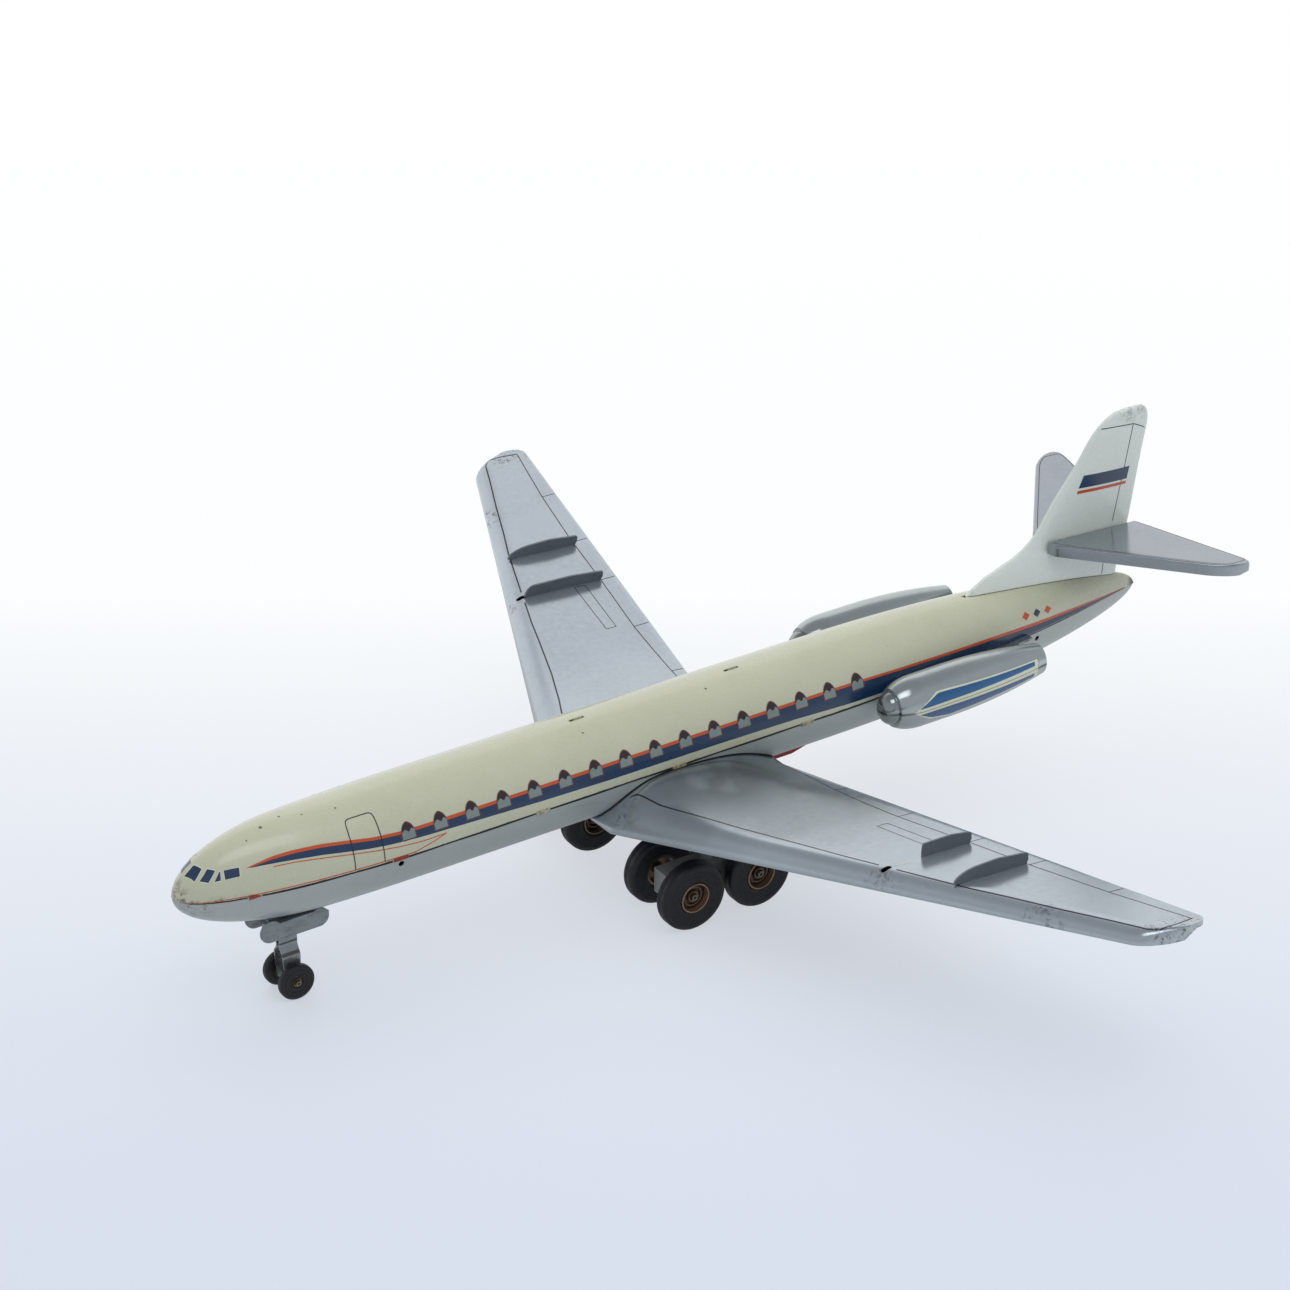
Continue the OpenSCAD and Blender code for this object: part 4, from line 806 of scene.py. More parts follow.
def nacelle_radius(back):
    if back < DOME:
        return NACELLE_R * DOME_SHARE * sqrt(max(0, 1 - ((DOME - back) / DOME) ** 2))
    if back < COWL_FULL:
        return NACELLE_R * sqrt(1 - 0.46 * ((COWL_FULL - back) / (COWL_FULL - DOME)) ** 2.4)
    if back < TAPER_START:
        return NACELLE_R
    return NACELLE_R - TAPER * ((back - TAPER_START) / (NACELLE_END - TAPER_START)) ** 2


dome_backs = [(DOME - 0.01) * (1 - cos(pi / 2 * i / 10)) for i in range(11)]
cowl_backs = [DOME + 0.01 + (COWL_FULL - DOME - 0.01) * (i / 12) ** 1.6 for i in range(13)]
tail_backs = [COWL_FULL + (NACELLE_END - COWL_FULL) * i / 16 for i in range(1, 17)]
print("a nacelle narrows from", NACELLE_R, "to", round(nacelle_radius(tail_backs[-1]), 2), "mm")

# %% Press the nacelles
def nacelle_rows(side):
    turns = [pi * i / NACELLE_STEPS for i in range(NACELLE_STEPS + 1)]
    rows = []
    for back in dome_backs + cowl_backs + tail_backs:
        tall = nacelle_radius(back)
        rows.append([(NACELLE_X - back, NACELLE_Y + NACELLE_WIDTH * tall * cos(turn),
            FUSELAGE_Z + side * (0.05 + tall * sin(turn))) for turn in turns])
    return rows


nacelles = []
mouth = place(NACELLE_X - DOME, 0, 0).x
for level, up in (("top", 1), ("bottom", -1)):
    left_half = pressing("left_engine_" + level, nacelle_rows(up), (-120, NACELLE_Y, FUSELAGE_Z), 0.45)
    smooth(left_half, 50)
    right_half = mirrored_copy(left_half, "right_engine_" + level)
    for side, half in (("left", left_half), ("right", right_half)):
        give(half, silver_small, stands_for=(side + "_nacelle_" + level,))
        half.data.materials.append(intake_tin)
        for face in half.data.polygons:
            face.material_index = 1 if face.center.x > mouth else 0
        nacelles.append(half)
print("nacelle halves:", [n.name for n in nacelles])

# %% [markdown]
# ## Fin
# The fin is folded from two shallow trays that meet on the middle plane. Its outline is
# drawn as a list of levels with a front and a rear edge. Between them the outline is
# followed with smooth curves, and near the tip the thickness runs out in a quarter ellipse,
# so that both halves close over the top.

# %% Outline and thickness of the fin
FIN_H = 92.3
FIN_FOOT = (-150.6, -238)
FIN_THICK = 3.2
FIN_CLOSING = 0.984
FIN_STEPS = 22
SEAM_Y = 0.05
fin_levels = [(0.3, -161.3, -240.5), (0.34, -172.2, -242.2), (0.375, -180.5, -243.6),
    (0.453, -189.6, -244.9), (0.607, -199.4, -247.1), (0.769, -211.2, -249.6),
    (0.893, -219, -251.6), (0.955, -225, -251.2), (0.99, -231.2, -248.6), (1, -235.5, -244)]


def between(table, index, share):
    p = [table[min(max(index + k, 0), len(table) - 1)] for k in (-1, 0, 1, 2)]
    result = []
    for a, b, c, d in zip(*p):
        slope_b, slope_c = (c - a) / 2, (d - b) / 2
        t, u = share, 1 - share
        result.append(b * (1 + 2 * t) * u * u + slope_b * t * u * u
            + c * t * t * (3 - 2 * t) - slope_c * t * t * u)
    return result


def fin_bulge(share):
    return 0.25 + 0.75 * sin(pi * share) ** 0.55


def closed_to_seam(row):
    return [(row[0][0], SEAM_Y, row[0][2])] + row + [(row[-1][0], SEAM_Y, row[-1][2])]


def fin_row(level, front, rear):
    thick = FIN_THICK - 1.7 * level
    if level > FIN_CLOSING:
        thick *= sqrt(max(0, 1 - ((level - FIN_CLOSING) / (1 - FIN_CLOSING)) ** 2))
    row = []
    for i in range(FIN_STEPS + 1):
        share = i / FIN_STEPS
        row.append((front + (rear - front) * share, max(SEAM_Y, thick * fin_bulge(share)),
            FUSELAGE_Z + FIN_H * level))
    return closed_to_seam(row)


def foot_row():
    front, rear = FIN_FOOT
    row = []
    for i in range(FIN_STEPS + 1):
        share = i / FIN_STEPS
        x = front + (rear - front) * share
        y = FIN_THICK * fin_bulge(share)
        row.append((x, y, FUSELAGE_Z + 0.1 + top_height(x) * sqrt(max(0, 1 - (y / half_width(x)) ** 2))))
    return closed_to_seam(row)


print("fin levels:", len(fin_levels), "up to", FUSELAGE_Z + FIN_H, "mm")

# %% Press both halves of the fin
fin_rows = [foot_row()]
low_row = fin_row(*fin_levels[0])
for share in (0.25, 0.5, 0.75):
    fin_rows.append([tuple(a + (b - a) * share for a, b in zip(p, q))
        for p, q in zip(fin_rows[0], low_row)])
for index in range(len(fin_levels) - 1):
    for part in range(6):
        fin_rows.append(fin_row(*between(fin_levels, index, part / 6)))
fin_rows.append(fin_row(*fin_levels[-1]))
left_fin = pressing("left_fin_half", fin_rows, (-225, -30, 110), 0.4)
right_fin = mirrored_copy(left_fin, "right_fin_half")
for side, half in (("left", left_fin), ("right", right_fin)):
    give(half, fin_white, stands_for=("fin_" + side + "_half",))
print("fin half faces:", len(left_fin.data.polygons))

# %% [markdown]
# ## Tailplanes
# A tailplane is a flat tray turned upside down: the top is almost flat and its edge turns
# down all round. The fold is drawn as a small quarter round, which catches the light as the
# real bend does.

# %% Sections of a tailplane
TAIL_SPAN = 69
TAIL_ROOT = 3.3
TAIL_LIMIT = -259.1
TAIL_BEND = 1.5
BEND_STEPS = 7


def tail_lead(y):
    out = y - TAIL_ROOT
    return -194.5 - 0.83 * max(0, out - 5) - 0.02 * min(out, 5) ** 2 - corner_round(y, TAIL_SPAN, (9, 7))


def tail_trail(y):
    return max(TAIL_LIMIT, -247 - 0.2 * (y - TAIL_ROOT) + corner_round(y, TAIL_SPAN, (5, 4)))


def tail_top(x, y):
    return FUSELAGE_Z + 35.9 + 0.06 * (x + 220) + 0.066 * y


def tail_section(y):
    lead, trail = tail_lead(y), tail_trail(y)
    turns = [pi / 2 * i / BEND_STEPS for i in range(BEND_STEPS + 1)]
    fold = [(TAIL_BEND * (1 - cos(turn)), -TAIL_BEND * (1 - sin(turn))) for turn in turns]
    section = [(lead, -5.6)]
    section += [(lead - inwards, down) for inwards, down in fold]
    flat_front, flat_rear = lead - TAIL_BEND, trail + TAIL_BEND
    section += [(flat_front + (flat_rear - flat_front) * i / 8, 0) for i in range(1, 8)]
    section += [(trail + inwards, down) for inwards, down in reversed(fold)]
    section.append((trail, -4.6))
    return [(x, y, tail_top(x, y) + z) for x, z in section]


print("tailplane chord at the root:", round(tail_lead(TAIL_ROOT) - tail_trail(TAIL_ROOT), 1), "mm")

# %% Press both tailplanes
tail_spans = [TAIL_ROOT + s for s in (0, 1, 2, 3, 4, 5, 6.5, 10, 20, 32, 44, 54)]
tail_spans += [TAIL_SPAN - 9 * c for c in (0.9, 0.75, 0.6, 0.48, 0.37, 0.27, 0.18, 0.1, 0.04, 0.001)]
left_tail = laid_grid("left_tailplane_top", [tail_section(y) for y in tail_spans])
close_end(left_tail, TAIL_SPAN - 0.05, TAIL_SPAN + 0.05)
close_end(left_tail, TAIL_ROOT - 0.01, TAIL_ROOT + 0.01)
face_away(left_tail, (-225, 30, 90))
modify(left_tail, "SOLIDIFY", thickness=SHEET * MM, offset=-1, use_even_offset=False)
smooth(left_tail, 40)
right_tail = mirrored_copy(left_tail, "right_tailplane_top")
for side, tail in (("left", left_tail), ("right", right_tail)):
    give(tail, silver_tail, stands_for=(side + "_tailplane",))
print("tailplane faces:", len(left_tail.data.polygons))

# %% [markdown]
# ## Wheels
# A wheel is a solid of revolution, so its section is drawn once as a closed ring of points
# and spun round the axle. The rubber carries fine moulded rings and a rounded shoulder. The
# pressed hub has a rolled rim, a dish and a raised ring round the axle. One wheel is made
# and then copied to its eight places.

# %% Spin a section round an axle along Y
def spun(name, section, steps):
    only()
    bpy.ops.mesh.primitive_circle_add(vertices=len(section), radius=0.01)
    ring = bpy.context.object
    ring.name = name
    ring.data.name = name
    for vertex, (radius, width) in zip(ring.data.vertices, section):
        vertex.co = (radius * MM, width * MM, 0)
    edit(ring)
    bpy.ops.mesh.spin(steps=steps, angle=2 * pi, center=(0, 0, 0), axis=(0, 1, 0))
    bpy.ops.mesh.select_all(action="SELECT")
    bpy.ops.mesh.remove_doubles(threshold=0.00001)
    bpy.ops.mesh.normals_make_consistent(inside=False)
    done()
    smooth(ring, 40)
    return ring


def placed_copy(model, name, x, y, z, face):
    twin = model.copy()
    twin.data = model.data.copy()
    bpy.context.collection.objects.link(twin)
    twin.name = name
    twin.data.name = name
    twin.rotation_euler.z = 0 if face > 0 else pi
    twin.location = place(x, y, z)
    settle(twin)
    return twin


def arc(centre, radius, first, last, count):
    angles = [radians(first + (last - first) * i / count) for i in range(count + 1)]
    return [(centre[0] + radius * cos(a), centre[1] + radius * sin(a)) for a in angles]

# %% Model one tyre and one hub
TYRE_R = 15.8
GROOVES = (8.5, 9.5, 10.5, 11.5, 12.5)


def wall_rings(side):
    grooves = []
    for radius in GROOVES:
        grooves += [(radius, side * 4.0), (radius + 0.12, side * 3.86), (radius + 0.3, side * 3.86),
            (radius + 0.42, side * 4.0)]
    return grooves


tyre_section = [(7.2, 3.3), (7.5, 3.6), (8.2, 4.0)] + wall_rings(1)
tyre_section += arc((13.5, 1.7), 2.3, 88, 4, 8)
tyre_section += [(TYRE_R, 0.9), (15.72, 0.7), (15.72, -0.7), (TYRE_R, -0.9)]
tyre_section += arc((13.5, -1.7), 2.3, -4, -88, 8)
tyre_section += list(reversed(wall_rings(-1))) + [(8.2, -4.0), (7.5, -3.6), (7.2, -3.3)]
tyre_model = spun("tyre_model", tyre_section, 96)

hub_section = [(7.05, -2.8), (7.05, 3.4)] + arc((6.65, 3.65), 0.42, -20, 200, 8)
hub_section += [(6.15, 3.2), (6.0, 1.2), (5.7, 0.75), (5.1, 0.7), (4.9, 1.5), (4.6, 1.85), (4.1, 1.85),
    (3.8, 1.5), (3.65, 0.75), (3.0, 0.8), (2.75, 1.9), (2.55, 2.2), (1.75, 2.2), (1.6, 1.8), (1.6, -2.0),
    (2.6, -2.2), (2.8, 0.1), (5.9, 0.1), (6.15, -0.3), (6.15, -2.8)]
hub_model = spun("hub_model", hub_section, 72)
print("tyre faces:", len(tyre_model.data.polygons), "hub faces:", len(hub_model.data.polygons))

# %% [markdown]
# ## Rubber and lacquered hubs
# Old moulded rubber is a deep blue-black with pale dust in its pores. The hubs are tin under
# a golden lacquer, which looks red-brown in the dish where it pooled and bright where the
# rim has been rubbed. Faces of the hub are given their coat by their distance from the axle.

# %% Rubber and hub coats
rubber = coat("rubber", "#0f1118", deeper="#17191f", gloss=(0.45, 0.7), scratch=0.3, specks=0.35,
    chip="#55585c", relief=0.07, drawn=(3, 3, 3))
hub_rim = coat("hub_rim", "#8f7660", deeper="#675142", metal=0.6, gloss=(0.22, 0.42), scratch=0.5,
    specks=1.0, chip="#2f2018", lacquer=0.3, relief=0.04, drawn=(3, 3, 3))
hub_dish = coat("hub_dish", "#4e342b", deeper="#38241e", metal=0.5, gloss=(0.24, 0.45), scratch=0.3,
    specks=0.9, chip="#241812", lacquer=0.3, relief=0.04, drawn=(3, 3, 3))
hub_ring = coat("hub_ring", "#6f5a48", deeper="#524236", metal=0.7, gloss=(0.26, 0.44), scratch=0.5,
    specks=0.8, chip="#2a1e16", lacquer=0.2, relief=0.04, drawn=(3, 3, 3))


def colour_hub(hub, x, z):
    hub.data.materials.clear()
    for coat_of_ring in (hub_rim, hub_dish, hub_ring):
        hub.data.materials.append(coat_of_ring)
    centre = place(x, 0, z)
    for face in hub.data.polygons:
        radius = hypot(face.center.x - centre.x, face.center.z - centre.z) / MM
        in_ring = 3.7 < radius < 5.0 or radius < 2.8
        face.material_index = 0 if radius > 5.95 else 2 if in_ring else 1


print("coats with rubber and hubs:", len(bpy.data.materials))

# %% Fit the eight main wheels
for side, way in (("left", 1), ("right", -1)):
    for end, x in (("front", 33.1), ("rear", -1.1)):
        body = side + "_" + end + "_wheels"
        for spot, y, face in (("outer", 51.2, 1), ("inner", 25.6, -1)):
            name = "_".join((side, end, spot))
            tyre = placed_copy(tyre_model, name + "_rubber_tyre", x, way * y, TYRE_R, way * face)
            give(tyre, rubber, body, (name + "_tyre",))
            hub = placed_copy(hub_model, name + "_pressed_hub", x, way * y, TYRE_R, way * face)
            give(hub, hub_rim, body, (name + "_hub",))
            colour_hub(hub, x, TYRE_R)
for model in (tyre_model, hub_model):
    bpy.data.objects.remove(model)
print("main wheels fitted: 8")

# %% [markdown]
# ## Nose wheels
# The two small wheels are hard rubber discs with shallow turned grooves and a brass washer
# that shows at the axle. Wheel and washer are each spun from one section too.

# %% Model and fit the nose wheels
NOSE_AXLE_X = 200
NOSE_AXLE_Z = 8.1
NOSE_TRACK = 6.6
nose_section = [(1.3, 1.0), (2.4, 1.05), (2.7, 1.45), (3.3, 1.45), (3.5, 1.2), (4.6, 1.2), (4.8, 1.5),
    (5.3, 1.8), (5.8, 1.8), (5.9, 1.62), (6.2, 1.62), (6.3, 1.8)]
nose_section += arc((7.0, 0.7), 1.1, 88, 4, 6) + arc((7.0, -0.7), 1.1, -4, -88, 6)
nose_section += [(6.2, -1.8), (5.3, -1.8), (4.8, -1.5), (4.6, -1.2), (1.3, -1.2)]
nose_model = spun("nose_wheel_model", nose_section, 64)
washer_section = [(1.25, 1.0), (1.9, 1.0), (2.0, 1.2), (1.9, 1.42), (1.45, 1.42), (1.25, 1.3)]
washer_model = spun("washer_model", washer_section, 40)
for side, way in (("left", 1), ("right", -1)):
    spot = (NOSE_AXLE_X, way * NOSE_TRACK, NOSE_AXLE_Z)
    wheel = placed_copy(nose_model, side + "_nose_rubber", *spot, way)
    give(wheel, rubber, "nose_wheels", (side + "_nose_wheel",))
    washer = placed_copy(washer_model, side + "_nose_washer", *spot, way)
    give(washer, old_brass, "nose_wheels")
for model in (nose_model, washer_model):
    bpy.data.objects.remove(model)
print("nose wheels fitted: 2, each with a washer")

# %% [markdown]
# ## Finishes for the solids that stay
# Axles, gear frames, fences and the drive are already the right shape, so they keep their
# solids and only get a coat. A coat is given by assigning it to the slot of the solid.

# %% Coat the solids
coated = []


def coat_solid(material, *names):
    coated.extend(names)
    for name in names:
        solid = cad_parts[name]
        if not solid.material_slots:
            solid.data.materials.append(material)
        for held in solid.material_slots:
            held.material = material


both = ("left", "right")
coat_solid(silver_wing, *[s + "_wing_bottom" for s in both])
coat_solid(grey_tin, *[s + p for s in both for p in ("_inner_fence", "_outer_fence")])
coat_solid(bracket_tin, "nose_gear_bracket")
coat_solid(silver_small, *[s + "_engine_pylon" for s in both])
coat_solid(bogie_tin, *[s + "_bogie_frame" for s in both])
coat_solid(strut_tin, "nose_strut")
coat_solid(bare_steel, "steering_rivet", "nose_axle", "drive_axle", "idler_arbor", "flywheel_shaft",
    "idler_pinion", *[s + e + "_axle" for s in both for e in ("_front", "_rear")])
coat_solid(red_paint, "drive_frame")
coat_solid(brass, "drive_gear", "idler_gear")
coat_solid(cast_iron, "flywheel", "nose_ballast")
coat_solid(rubber, *[s + "_drive_wheel" for s in both])
print("solids coated:", len(coated), "of", len(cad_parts))

# %% [markdown]
# ## Print on the curved fuselage
# The livery was printed on the flat sheet and went round with it. Here each printed patch
# is a thin grid between two rails, drawn on the unrolled sheet: x along the toy and s, the
# distance round from the seam. A line of ink is a stroke with a rail on either side of it.

# %% Rails, strokes and patches
STROKE_STEP = 1.2


def along(points, count):
    lengths = [0]
    for a, b in zip(points, points[1:]):
        lengths.append(lengths[-1] + hypot(b[0] - a[0], b[1] - a[1]))
    result = []
    for i in range(count + 1):
        at = lengths[-1] * i / count
        k = max(j for j in range(len(lengths)) if lengths[j] <= at + 1e-9)
        k = min(k, len(points) - 2)
        span = lengths[k + 1] - lengths[k]
        t = 0 if span == 0 else (at - lengths[k]) / span
        result.append(tuple(a + (b - a) * t for a, b in zip(points[k], points[k + 1])))
    return result


def length_of(points):
    return sum(hypot(b[0] - a[0], b[1] - a[1]) for a, b in zip(points, points[1:]))


def patch(rail_a, rail_b, step=1.6, across=1):
    count = max(1, ceil(max(length_of(rail_a), length_of(rail_b)) / step))
    first, second = along(rail_a, count), along(rail_b, count)
    return [[tuple(a + (b - a) * k / across for a, b in zip(p, q)) for p, q in zip(first, second)]
        for k in range(across + 1)]


def stroke(points, width):
    count = max(2, ceil(length_of(points) / STROKE_STEP))
    line = along(points, count)
    left, right = [], []
    for i, (u, v) in enumerate(line):
        a, b = line[max(0, i - 1)], line[min(len(line) - 1, i + 1)]
        size = hypot(b[0] - a[0], b[1] - a[1]) or 1
        du, dv = -(b[1] - a[1]) / size * width / 2, (b[0] - a[0]) / size * width / 2
        left.append((u + du, v + dv))
        right.append((u - du, v - dv))
    return [left, right]


sample = stroke([(0, 0), (12, 0)], 1)
print("a stroke 12 mm long has", len(sample), "rails with", len(sample[0]), "points each")

# %% [markdown]
# ## From the flat sheet to the shell
# A point goes on to the shell by its angle round the body, and stands a few hundredths of a
# millimetre proud of it along the shell's own normal. With a lift below zero it lies under
# the face instead, in the step of the seam. The same drawing is laid on the other side.

# %% Lay a patch on the body
def hull_point(x, s, side, lift):
    def surface(at_x, turn):
        return Vector((at_x, half_width(at_x) * cos(turn), FUSELAGE_Z + top_height(at_x) * sin(turn)))
    turn = s / FUSELAGE_R
    here = surface(x, turn)
    ahead, behind = surface(min(x + 0.2, NOSE_X - 0.01), turn), surface(x - 0.2, turn)
    normal = (surface(x, turn + 0.01) - surface(x, turn - 0.01)).cross(ahead - behind)
    if normal.y * here.y < 0 or normal.z < -abs(normal.y):
        normal.negate()
    here += normal.normalized() * lift
    return (here.x, side * here.y, here.z)


def print_on_hull(name, patches, material, lift=0.04):
    sheets = []
    for rows in patches:
        for side in (1, -1):
            laid = [[hull_point(x, s, side, lift) for x, s in row] for row in rows]
            sheet = laid_grid(name, laid)
            face_away(sheet, (rows[0][0][0], 0, FUSELAGE_Z))
            sheets.append(sheet)
    whole = join(name, sheets)
    smooth(whole, 60)
    give(whole, material)
    print(name, "patches:", len(sheets), "faces:", len(whole.data.polygons))

# %% [markdown]
# ## Band and pinstripe
# A plain dark band runs the length of the cabin under an orange pinstripe. Forward of the
# door both sweep up and draw together into a simple point, and behind the last window the
# band drops to the seam and fades out at the tail.

# %% Lay the band
band_top = [(221, 14.2), (212, 14.7), (203, 14.7), (191, 14.1), (180, 12.7), (168, 10.9), (156, 10.0),
    (145, 9.8), (60, 9.8), (-60, 9.8), (-78, 9.6), (-115, 8.05), (-140, 6.9), (-161, 5.7), (-180, 4.4),
    (-201, 3.4), (-225, 1.9), (-243, 0.7)]
band_low = [(221, 14.0), (212, 12.9), (203, 12.0), (191, 10.9), (181, 9.5), (171, 8.1), (162, 7.2),
    (147, 6.4), (135, 6.0), (110, 5.2), (90, 4.5), (55, 3.8), (0, 3.6), (-40, 3.1), (-72, 1.8),
    (-110, 1.4), (-149, 1.1), (-168, 0.3), (-205, 0.25), (-243, 0.2)]
pin_top = [(223, 14.5), (212, 16.1), (203, 16.2), (191, 15.6), (180, 14.1), (168, 12.2), (156, 11.35),
    (145, 11.2), (60, 11.2), (-60, 11.1), (-78, 10.7), (-115, 9.2), (-140, 8.2), (-161, 7.3),
    (-180, 6.1), (-201, 5.0), (-225, 3.3), (-243, 1.6)]
print_on_hull("navy_band", [patch(band_low, band_top, step=3, across=3)], navy)
print_on_hull("orange_pinstripe", [patch(band_top, pin_top, step=3)], orange)

# %% [markdown]
# ## Dark runs of the open seam
# Between the tabs the two shells stand a little apart, and the step is nearly black. So is
# the joint round the root of each wing. Both are narrow dark patches just under the face.

# %% Lay the dark runs
edge_runs = [(247, 224), (218, 161), (153.6, 92.6), (85.2, 24), (16.4, -43), (-50.5, -150), (-150, -244)]
open_seam = []
for front, rear in edge_runs:
    places = [front + (rear - front) * i / 24 for i in range(25)]
    ragged_foot = [(x, -0.95 - 0.3 * abs(sin(0.07 * x))) for x in places]
    open_seam.append(patch(ragged_foot, [(x, -0.03) for x in places]))
print_on_hull("open_seam", open_seam, black_gap, lift=-0.26)
outline = [(x, FUSELAGE_R * asin(max(-1, min(1, (z - FUSELAGE_Z) / FUSELAGE_R))))
    for x, y, z in wing_section(root)]
print_on_hull("wing_root_gap", [patch(*stroke(outline, 1.1))], black_gap, lift=-0.24)

# %% [markdown]
# ## Fine orange lines
# A thin orange line follows the seam round the nose. A second one rises from it ahead of
# the first window and runs forward under the band.

# %% Lay the fine lines
seam_line = [(246, 0.25), (240, 0.35), (225, 0.4), (200, 0.4), (150, 0.4)]
rising_line = [(151, 0.65), (145, 2.0), (140, 3.2), (135.5, 4.6)]
under_line = [(212, 11.5), (203, 10.9), (196, 10.2), (188, 9.2), (179, 7.9), (169, 6.5), (157, 5.1),
    (146, 4.4), (135.5, 4.6)]
FINE_LINE = 0.42
print_on_hull("orange_fine_lines", [patch(seam_line, [(x, s + 0.5) for x, s in seam_line], step=2),
    patch(*stroke(rising_line, FINE_LINE)), patch(*stroke(under_line, FINE_LINE))], orange)

# %% [markdown]
# ## Cabin windows
# Sixteen windows a side, each a rounded arch in three layers of ink: a thin red-brown rim,
# a dark drawn curtain, and a pale pane with a wavy top. One window is drawn and repeated at
# its pitch. Each layer lies a hair above the one before, as ink does.

# %% Draw one window and repeat it
PITCH = 15.17
FIRST_WINDOW = 152.5
arch = [(0.0, 2.9), (0.04, 3.4), (0.1, 3.6), (0.3, 3.5), (0.48, 3.25), (0.64, 2.85), (0.77, 2.35),
    (0.87, 1.8), (0.94, 1.2), (0.98, 0.65), (1.0, 0.15)]


def window_shape(middle, low, high, narrower):
    rails = []
    for way in (-1, 1):
        rails.append([(middle + way * max(0.05, half - narrower), low + (high - low) * t)
            for t, half in arch])
    return patch(rails[0], rails[1], step=0.9, across=6)


def pane_shape(middle, low):
    wave = [(-3.0, 3.3), (-2.5, 3.9), (-1.8, 4.3), (-1.1, 3.8), (-0.5, 2.9), (0.1, 3.2), (0.8, 4.0),
        (1.5, 4.2), (2.3, 3.6), (3.0, 2.9)]
    floor = [(-3.0, 0.1), (3.0, 0.1)]
    return patch([(middle + u, low + v) for u, v in floor], [(middle + u, low + v) for u, v in wave],
        step=0.55, across=3)


middles = [FIRST_WINDOW - PITCH * i for i in range(16)]
print_on_hull("window_rims", [window_shape(m, 6.7, 14.6, 0) for m in middles], window_rim, lift=0.07)
print_on_hull("window_curtains", [window_shape(m, 7.05, 14.2, 0.38) for m in middles], curtain, lift=0.09)
print_on_hull("window_panes", [pane_shape(m, 7.15) for m in middles], window_glass, lift=0.11)

# %% [markdown]
# ## Door and cockpit glass
# The door is only a thin printed outline with rounded top corners. The cockpit panes are
# four-sided patches that narrow round the nose, placed by their corners.

# %% Draw the door and the panes
door = [(178, 0.9), (178, 8), (177.9, 16), (177.6, 20.5), (177.2, 21.9), (176.2, 22.7), (170, 22.8),
    (166.2, 22.8), (165.2, 22.2), (164.8, 20.6), (164.7, 12), (164.7, 0.9)]
print_on_hull("door_line", [patch(*stroke(door, FINE_LINE), step=0.9)], line_ink, lift=0.12)


def corner_patch(corners):
    a, b, c, d = [(x, radians(turn) * FUSELAGE_R) for x, turn in corners]
    return patch([a, b], [d, c], step=0.7, across=6)


panes = [
    [(244.9, 79), (240.3, 83), (238.6, 63), (242.6, 48)],
    [(240.9, 43), (236.8, 57), (234.3, 48), (238.0, 34)],
    [(235.7, 32), (233.0, 44), (232.7, 43), (233.3, 31)],
    [(231.3, 43), (225.3, 39.5), (225.8, 28.5), (231.6, 30)]]


def spread(corners, by):
    middle_x, middle_turn = (sum(c[k] for c in corners) / len(corners) for k in (0, 1))
    wider = []
    for x, turn in corners:
        du, dv = x - middle_x, radians(turn - middle_turn) * half_width(x)
        share = 1 + by / hypot(du, dv)
        wider.append((middle_x + du * share, middle_turn + (turn - middle_turn) * share))
    return wider


print_on_hull("cockpit_borders", [corner_patch(spread(p, 0.5)) for p in panes], pane_border, lift=0.05)
print_on_hull("cockpit_panes", [corner_patch(p) for p in panes], cab_glass, lift=0.08)

# %% [markdown]
# ## Print on flat and hollow pressings
# On the wings, the fin and the engines a pattern is drawn flat, held a little off the piece,
# and dropped straight on to it with Shrinkwrap, which stops a few hundredths above the
# surface. The drawing plane is seen from above for a wing and from the side for the rest.

# %% Drop a flat pattern on to a piece
def held_above(way, height):
    return lambda x, y: (x, way * y, height)


def held_beside(way, distance):
    return lambda x, z: (x, way * distance, z)


def print_onto(name, patches, target, lay, material, axis, lift, inside):
    sheets = [laid_grid(name, [[lay(u, v) for u, v in row] for row in rows]) for rows in patches]
    whole = join(name, sheets)
    modify(whole, "SHRINKWRAP", target=target, wrap_method="PROJECT", wrap_mode="ABOVE_SURFACE",
        offset=lift * MM, use_project_x=False, use_project_y=axis == "Y", use_project_z=axis == "Z",
        use_negative_direction=True, use_positive_direction=True)
    face_away(whole, inside)
    smooth(whole, 60)
    give(whole, material)
    print(name, "patches:", len(sheets), "faces:", len(whole.data.polygons))

# %% [markdown]
# ## Lines on the wings
# The wing print is a thin dark drawing of the flaps and ailerons: a line behind the rounded
# leading edge, one ahead of the trailing edge, short ticks between that and the rim, and a
# slim box near the fences. Two bright scrapes run to the punched slot.

# %% Draw the wing lines
inner_line = [(46, 24), (43.3, 25), (41.9, 28.4), (39.5, 36.9), (36.7, 43.1), (33.8, 49), (27, 62.8),
    (18.6, 82.1), (10, 106), (4.7, 121.5), (-0.2, 134), (-1.2, 136.8)]
outer_line = [(-4.2, 144.6), (-11.2, 162.5), (-17, 177), (-24, 192.5), (-33, 213.8), (-42.5, 235),
    (-48, 248), (-51.5, 251.6), (-60, 252), (-68.1, 251.5)]
rear_line = [(-27.5, 25), (-30.4, 32), (-31.8, 42), (-33.3, 61.6), (-38, 100.9), (-45.6, 143), (-50.9, 176),
    (-58.5, 213), (-68.1, 251.5)]
wing_strokes = [stroke(inner_line, 0.7), stroke(outer_line, 0.7), stroke(rear_line, 0.5)]
for y, x in ((63, -33.5), (101, -38), (140, -45), (173, -50.4), (213, -58.5)):
    wing_strokes.append(stroke([(x, y), (wing_trail(y) + 0.6, y + 0.5)], FINE_LINE))
